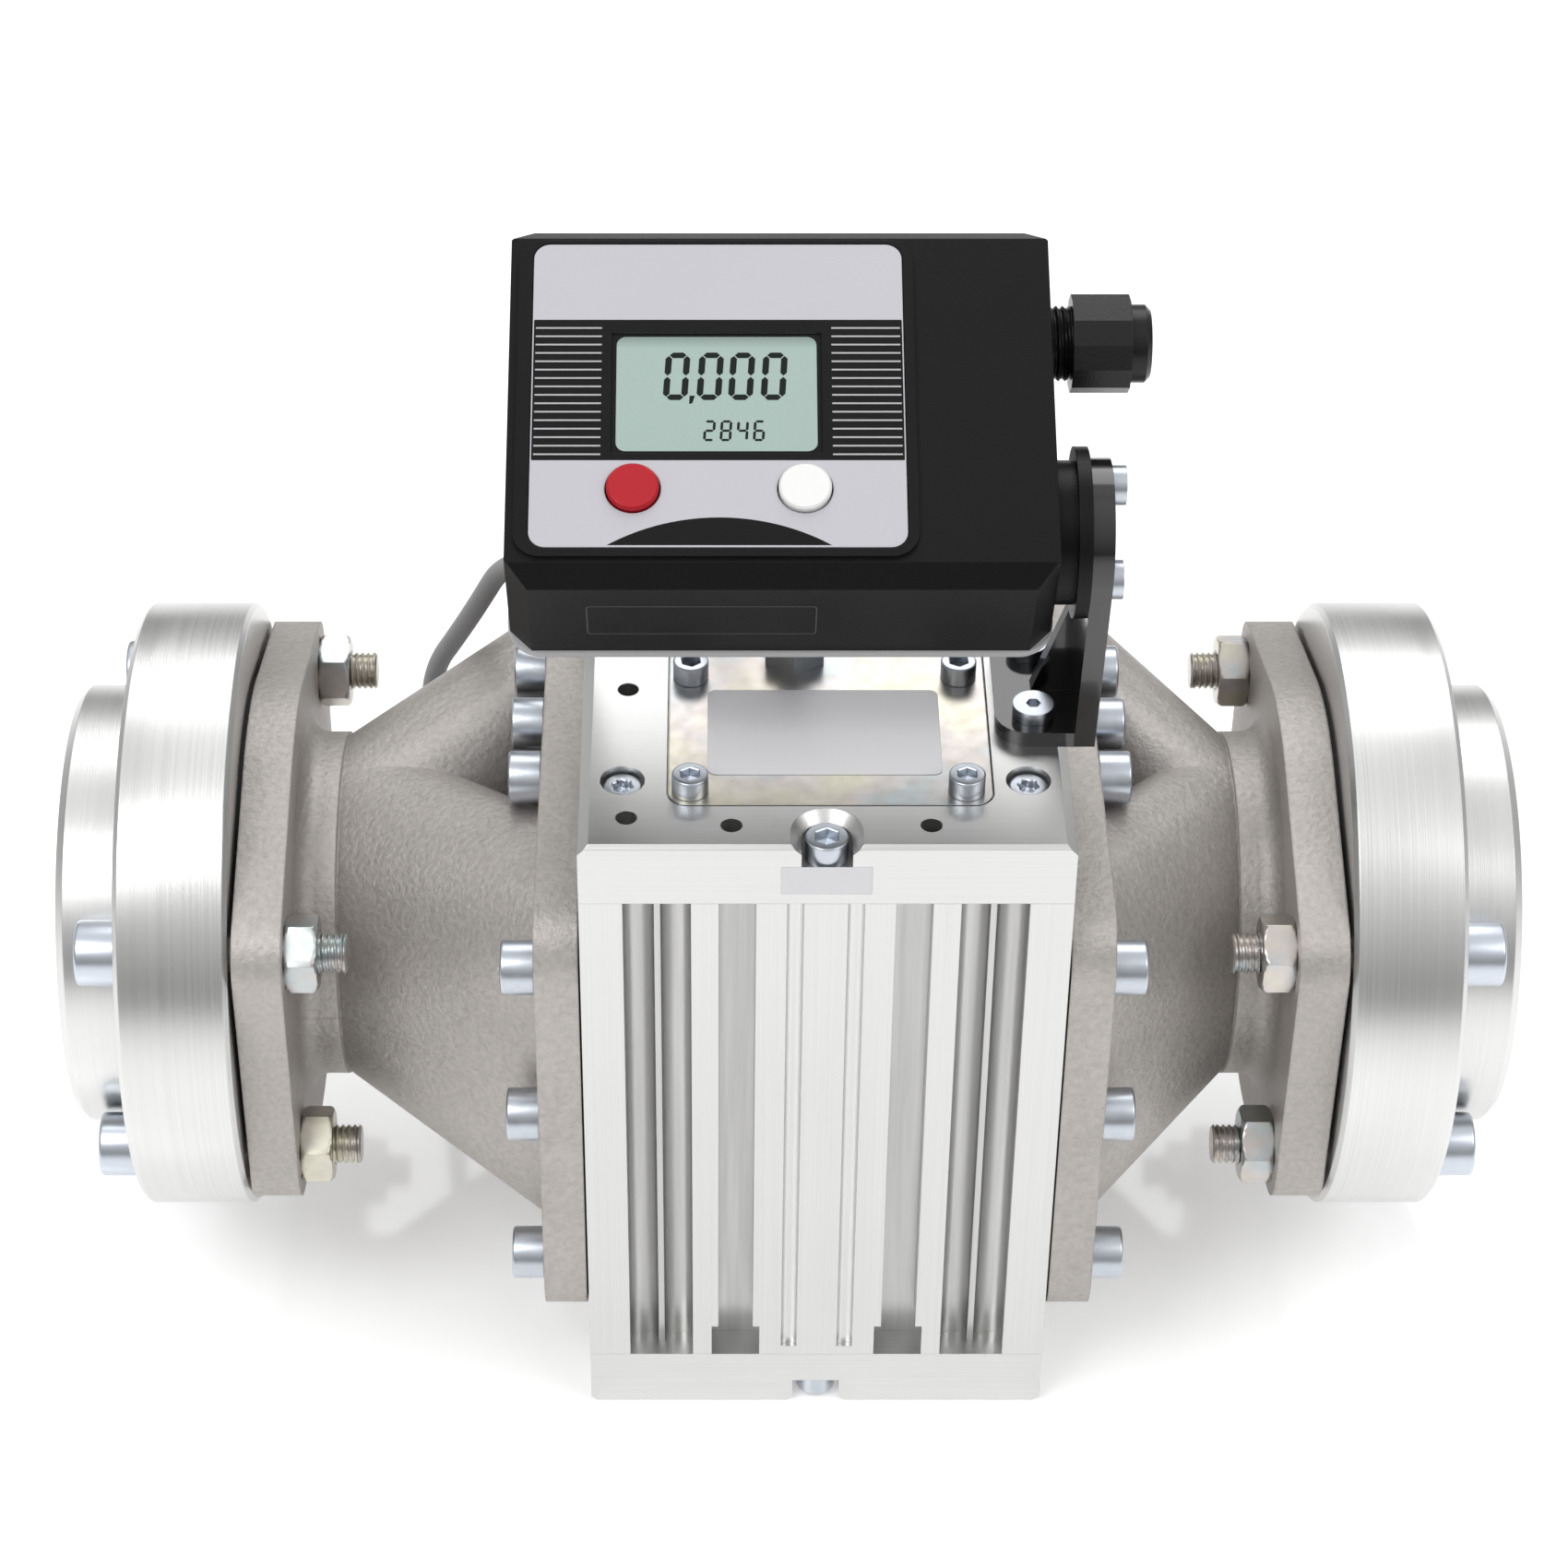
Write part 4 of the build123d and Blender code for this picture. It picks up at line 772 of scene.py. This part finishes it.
def digitBars(bars, left, reading):
    # A bar is a strip with pointed ends: two tips on its line, and four corners half a thickness off it.
    outlines = []
    for bar in bars:
        start, end = (Vector((x * reading["width"], y * reading["height"] / 2)) for x, y in barEnds[bar])
        along = (end - start).normalized()
        inset = along * reading["thickness"] / 2
        across = Vector((-along.y, along.x)) * reading["thickness"] / 2
        start = start + along * reading["thickness"] * digitStyle["gap"]
        end = end - along * reading["thickness"] * digitStyle["gap"]
        corners = [start, start + inset + across, end - inset + across]
        corners += [end, end - inset - across, start + inset - across]
        outlines.append([
            (left + point.x + digitStyle["slant"] * point.y, reading["bottom"] + point.y)
            for point in corners
        ])
    return outlines


digits = [decimalMark]
for reading in readings:
    for digit, left in zip(reading["text"], reading["places"]):
        digits += digitBars(digitForms[digit].split(), left, reading)
digitRise = film["glassRise"] + digitStyle["rise"]
printSheet("lcdDigits", digits, facePoint, digitRise, "display", film["inkThickness"])

# The lower wall carries the faint outline of a bare label; near and far are depths behind the face.
wallLabel = {
    "left": -43.5,
    "right": 7.9,
    "near": 12.0,
    "far": 25.0,
    "line": 0.3,
    "outerRadius": 1.0,
    "innerRadius": 0.8,
    "thickness": 0.03,
}


def labelOutline(spec, inset, radius):
    # Rounded rectangle that stands in from the label's edge.
    left, right = spec["left"] + inset, spec["right"] - inset
    return roundedOutline(left, spec["near"] + inset, right, spec["far"] - inset, radius)


outside = labelOutline(wallLabel, 0.0, wallLabel["outerRadius"])
inside = labelOutline(wallLabel, wallLabel["line"], wallLabel["innerRadius"])
printRing("wallLabelEdge", outside, inside, wallPoint, 0.0, "display", wallLabel["thickness"])
print("stage: display film made")

# Blank labels on the sensor cover and on the front edge of the top plate; a box is left, bottom,
# right, top and the corners' radius.
blankLabels = {
    "coverLabel": {"box": (-27.3, -62.0, 27.3, -30.0, 2.0), "place": coverPoint, "thickness": 0.15},
    "plateLabel": {"box": (-10.5, 169.9, 10.5, 178.0, 0.4), "place": platePoint, "thickness": 0.05},
}
for name, label in blankLabels.items():
    outline = roundedOutline(*label["box"])
    printSheet(name, [outline], label["place"], 0.0, "meter", label["thickness"])
print("stage: labels made")


def grainFinish(name, tone, roughness, stretch, depth, spread=0.25):
    # Metal whose grain is noise with a scale for each axis: it shades colour, roughness and relief.
    look = Finish(name, metallic=1.0)
    grain = look.noise(stretch, 5.0, 0.6)
    cloud = look.noise((11.0, 11.0, 11.0), 3.0)
    shade = tuple(value * (1 - spread) for value in tone)
    look.tint = look.mix(0.65 * grain + 0.35 * cloud, shade, tone)
    look.feed("Base Color", look.tint)
    look.feed("Roughness", roughness - 0.1 + 0.12 * grain + 0.08 * cloud)
    look.relief(grain, depth)
    return look


# Extruded case: fine vertical lines, and painted shade in the grooves behind the front and back faces.
caseLook = grainFinish("caseFinish", (0.72, 0.72, 0.71), 0.3, (2600.0, 2600.0, 8.0), 0.00002)
inward = caseLook.fade(abs(caseLook.y), 0.0815, 0.0872, 1.0, 0.0)
streak = caseLook.noise((420.0, 420.0, 14.0), 4.0)
# Painted shade: what lies deeper than the front and back faces is darkened, in streaks from the noise.
grooveShade = inward * (0.1 + 0.5 * streak)
caseLook.feed("Base Color", caseLook.mix(grooveShade, caseLook.tint, (0.16, 0.155, 0.15)))
caseLook.dress("meter_case")

# Milled plates: fine lines along X.
plateLook = grainFinish("plateFinish", (0.74, 0.74, 0.73), 0.36, (14.0, 2400.0, 2400.0), 0.00002)
plateLook.dress("top_plate", "bottom_plate")

# Castings: warm grey, blasted to an orange-peel texture, with a faint seam at mid height.
castLook = Finish("castFinish", metallic=0.75)
peel = castLook.noise((620.0, 620.0, 620.0), 2.0, 0.5)
sand = castLook.noise((2600.0, 2600.0, 2600.0), 2.0, 0.6)
patch = castLook.noise((38.0, 38.0, 38.0), 3.0)
seam = castLook.fade(abs(castLook.z - axisHeight * mm), 0.0002, 0.0009, 1.0, 0.0)
castGrain = 0.4 * peel + 0.35 * sand + 0.25 * patch
castLook.feed("Base Color", castLook.mix(castGrain, (0.235, 0.22, 0.208), (0.68, 0.645, 0.615)))
castLook.feed("Roughness", 0.46 + 0.14 * sand)
castLook.relief(peel + 0.35 * sand + 0.5 * seam, 0.00028, 0.9, 0.0009)
castLook.dress("inlet_manifold", "outlet_manifold")

# Turned flanges: fine rings round the pipe axis, from noise over the distance to it and the place along X.
turnLook = Finish("turnFinish", metallic=1.0, anisotropy=0.3)
overAxis = turnLook.z - axisHeight * mm
fromAxis = (turnLook.y * turnLook.y + overAxis * overAxis) ** 0.5
ringPlace = turnLook.combine(fromAxis * 3200.0, turnLook.x * 3200.0, 0.0)
rings = turnLook.node("ShaderNodeTexNoise", {}, {"Vector": ringPlace, "Scale": 1.0, "Detail": 3.0})
cloud = turnLook.noise((16.0, 16.0, 16.0), 3.0)
ringGrain = 0.6 * rings + 0.4 * cloud
turnLook.feed("Base Color", turnLook.mix(ringGrain, (0.52, 0.52, 0.515), (0.82, 0.82, 0.81)))
turnLook.feed("Roughness", 0.2 + 0.16 * rings + 0.06 * cloud)
turnLook.relief(rings, 0.00003, 1.0, 0.0004)
turnLook.dress("inlet_flange", "outlet_flange", "hubThreads")

# Zinc plated screws and the gland.
zincLook = grainFinish("zincFinish", (0.62, 0.66, 0.72), 0.3, (240.0, 240.0, 240.0), 0.00003, 0.35)
zincLook.dress("manifoldScrews", "plateScrews", "tieScrews", "coverScrews")
zincLook.dress("bracket_screws", "pivot_screws", "back_screws", "signal_gland")

shaftLook = grainFinish("shaftFinish", (0.6, 0.6, 0.6), 0.25, (900.0, 900.0, 900.0), 0.00002)
shaftLook.dress("shafts")
magnetLook = grainFinish("magnetFinish", (0.5, 0.5, 0.52), 0.3, (900.0, 900.0, 900.0), 0.00002)
magnetLook.dress("front_rotor_magnets", "rear_rotor_magnets")

# Tints of yellow zinc, each at its place in a slow noise.
passivatedTints = [
    (0.2, (0.46, 0.48, 0.46)),
    (0.40, (0.66, 0.64, 0.54)),
    (0.52, (0.62, 0.58, 0.58)),
    (0.64, (0.50, 0.57, 0.61)),
    (0.85, (0.66, 0.65, 0.55)),
]


def passivatedFinish(name, roughness, scale, headPlace=1.0):
    # The tint drifts through pink and blue with the noise; past the head's place it is plain zinc.
    look = Finish(name, metallic=1.0)
    head = abs(look.x) > headPlace
    drift = look.noise((scale, scale, scale), 2.5, 0.5)
    grain = look.noise((300.0, 300.0, 300.0), 3.0)
    tints = look.node("ShaderNodeValToRGB", {"stops": passivatedTints}, {"Fac": drift})
    yellow = look.mix(0.5 * grain, tints, (0.36, 0.33, 0.25))
    look.feed("Base Color", look.mix(head, yellow, (0.56, 0.60, 0.66)))
    look.feed("Roughness", roughness + 0.12 * grain)
    look.relief(grain, 0.00002)
    return look


passivatedFinish("boltFinish", 0.24, 60.0, 0.154).dress("inletBolts", "outletBolts", "flangeNuts")
passivatedFinish("coverFinish", 0.26, 34.0).dress("sensor_cover")

# Plastics, rubber, prints and boards. The grain's scale is in grains per metre, its depth in metres.
plastics = {
    "housingFinish": {
        "pieces": ("display_housing", "pivot_hub", "cable_boot"),
        "tone": (0.005, 0.005, 0.0055), "roughness": 0.34, "scale": 2300.0, "depth": 0.00006,
        "specular": 0.16,
    },
    "nutFinish": {
        "pieces": ("side_gland_nut", "glandNeck"),
        "tone": (0.008, 0.008, 0.0085), "roughness": 0.24, "scale": 1500.0, "depth": 0.00004, "specular": 0.3,
    },
    "bracketFinish": {
        "pieces": ("bracket",),
        "tone": (0.008, 0.008, 0.009), "roughness": 0.12, "scale": 260.0, "depth": 0.00003,
        "coat": 0.6, "coatRoughness": 0.05,
    },
    "backFinish": {
        "pieces": ("display_back",),
        "tone": (0.48, 0.48, 0.49), "roughness": 0.42, "scale": 1800.0, "depth": 0.00004, "spread": 0.1,
    },
    "filmFinish": {
        "pieces": ("face_overlay",),
        "tone": (0.49, 0.485, 0.52), "roughness": 0.4, "scale": 2600.0, "depth": 0.00003, "spread": 0.1,
    },
    "labelFinish": {
        "pieces": ("coverLabel", "plateLabel"),
        "tone": (0.76, 0.76, 0.78), "roughness": 0.36, "scale": 2600.0, "depth": 0.00002, "spread": 0.08,
    },
    "inkFinish": {
        "pieces": ("faceBand", "lcdMask", "faceArc"),
        "tone": (0.006, 0.006, 0.0065), "roughness": 0.3, "scale": 2600.0, "depth": 0.00002, "specular": 0.16,
    },
    "edgeFinish": {
        "pieces": ("wallLabelEdge",),
        "tone": (0.07, 0.07, 0.072), "roughness": 0.4, "scale": 2600.0, "depth": 0.00002,
    },
    "paleInkFinish": {
        "pieces": ("faceLines",),
        "tone": (0.46, 0.46, 0.47), "roughness": 0.4, "scale": 2600.0, "depth": 0.00002, "spread": 0.15,
    },
    "digitFinish": {
        "pieces": ("lcdDigits",),
        "tone": (0.012, 0.017, 0.015), "roughness": 0.35, "scale": 1200.0, "depth": 0.00001,
        "spread": 0.2, "specular": 0.1,
    },
    "redFinish": {
        "pieces": ("reset_button",),
        "tone": (0.44, 0.006, 0.016), "roughness": 0.22, "scale": 600.0, "depth": 0.00002,
        "spread": 0.15, "specular": 0.3, "coat": 0.2, "coatRoughness": 0.1,
    },
    "whiteFinish": {
        "pieces": ("cal_button",),
        "tone": (0.80, 0.80, 0.79), "roughness": 0.2, "scale": 600.0, "depth": 0.00002,
        "spread": 0.06, "coat": 0.4, "coatRoughness": 0.08,
    },
    "gasketFinish": {
        "pieces": ("manifold_gaskets", "flange_gaskets"),
        "tone": (0.03, 0.03, 0.03), "roughness": 0.7, "scale": 900.0, "depth": 0.00008,
    },
    "rotorFinish": {
        "pieces": ("front_rotor", "front_partner", "rear_rotor", "rear_partner"),
        "tone": (0.05, 0.05, 0.055), "roughness": 0.5, "scale": 900.0, "depth": 0.00005,
    },
    "boardFinish": {
        "pieces": ("circuit_board", "sensor_board"),
        "tone": (0.03, 0.14, 0.06), "roughness": 0.35, "scale": 1400.0, "depth": 0.00004,
    },
    "cellFinish": {
        "pieces": ("battery",),
        "tone": (0.10, 0.18, 0.42), "roughness": 0.25, "scale": 500.0, "depth": 0.00002,
    },
    "cableFinish": {
        "pieces": ("signalCable",),
        "tone": (0.30, 0.30, 0.31), "roughness": 0.55, "scale": 1300.0, "depth": 0.00006, "spread": 0.2,
    },
}


def plasticFinish(name, pieces, tone, roughness, scale, depth, spread=0.35, **constants):
    # Moulded plastic: fine grain in the relief, and slow changes in tone and shine.
    look = Finish(name, **constants)
    grain = look.noise((scale, scale, scale), 2.0, 0.5)
    cloud = look.noise((30.0, 30.0, 30.0), 3.0)
    shade = tuple(value * (1 - spread) for value in tone)
    look.feed("Base Color", look.mix(0.5 * grain + 0.5 * cloud, shade, tone))
    look.feed("Roughness", roughness - 0.05 + 0.08 * grain + 0.06 * cloud)
    look.relief(grain, depth)
    look.dress(*pieces)


for name, plastic in plastics.items():
    plasticFinish(name, **plastic)

# Display glass: grey-green, darker under the frame's upper edge.
glassLook = Finish("glassFinish", coat=0.5, coatRoughness=0.04, specular=0.4)
overMiddle = (glassLook.y - face["middle"][1] * mm, glassLook.z - face["middle"][2] * mm)
upFace = overMiddle[0] * face["cosine"] + overMiddle[1] * face["sine"]
shadow = glassLook.fade(upFace, 0.0125, 0.0158, 0.0, 0.7)
speck = glassLook.noise((1800.0, 1800.0, 1800.0), 2.0)
glassTone = glassLook.mix(speck, (0.30, 0.395, 0.36), (0.345, 0.45, 0.41))
glassLook.feed("Base Color", glassLook.mix(shadow, glassTone, (0.12, 0.16, 0.145)))
glassLook.feed("Roughness", 0.22 + 0.06 * speck)
glassLook.dress("lcd")
print("stage: finishes made")
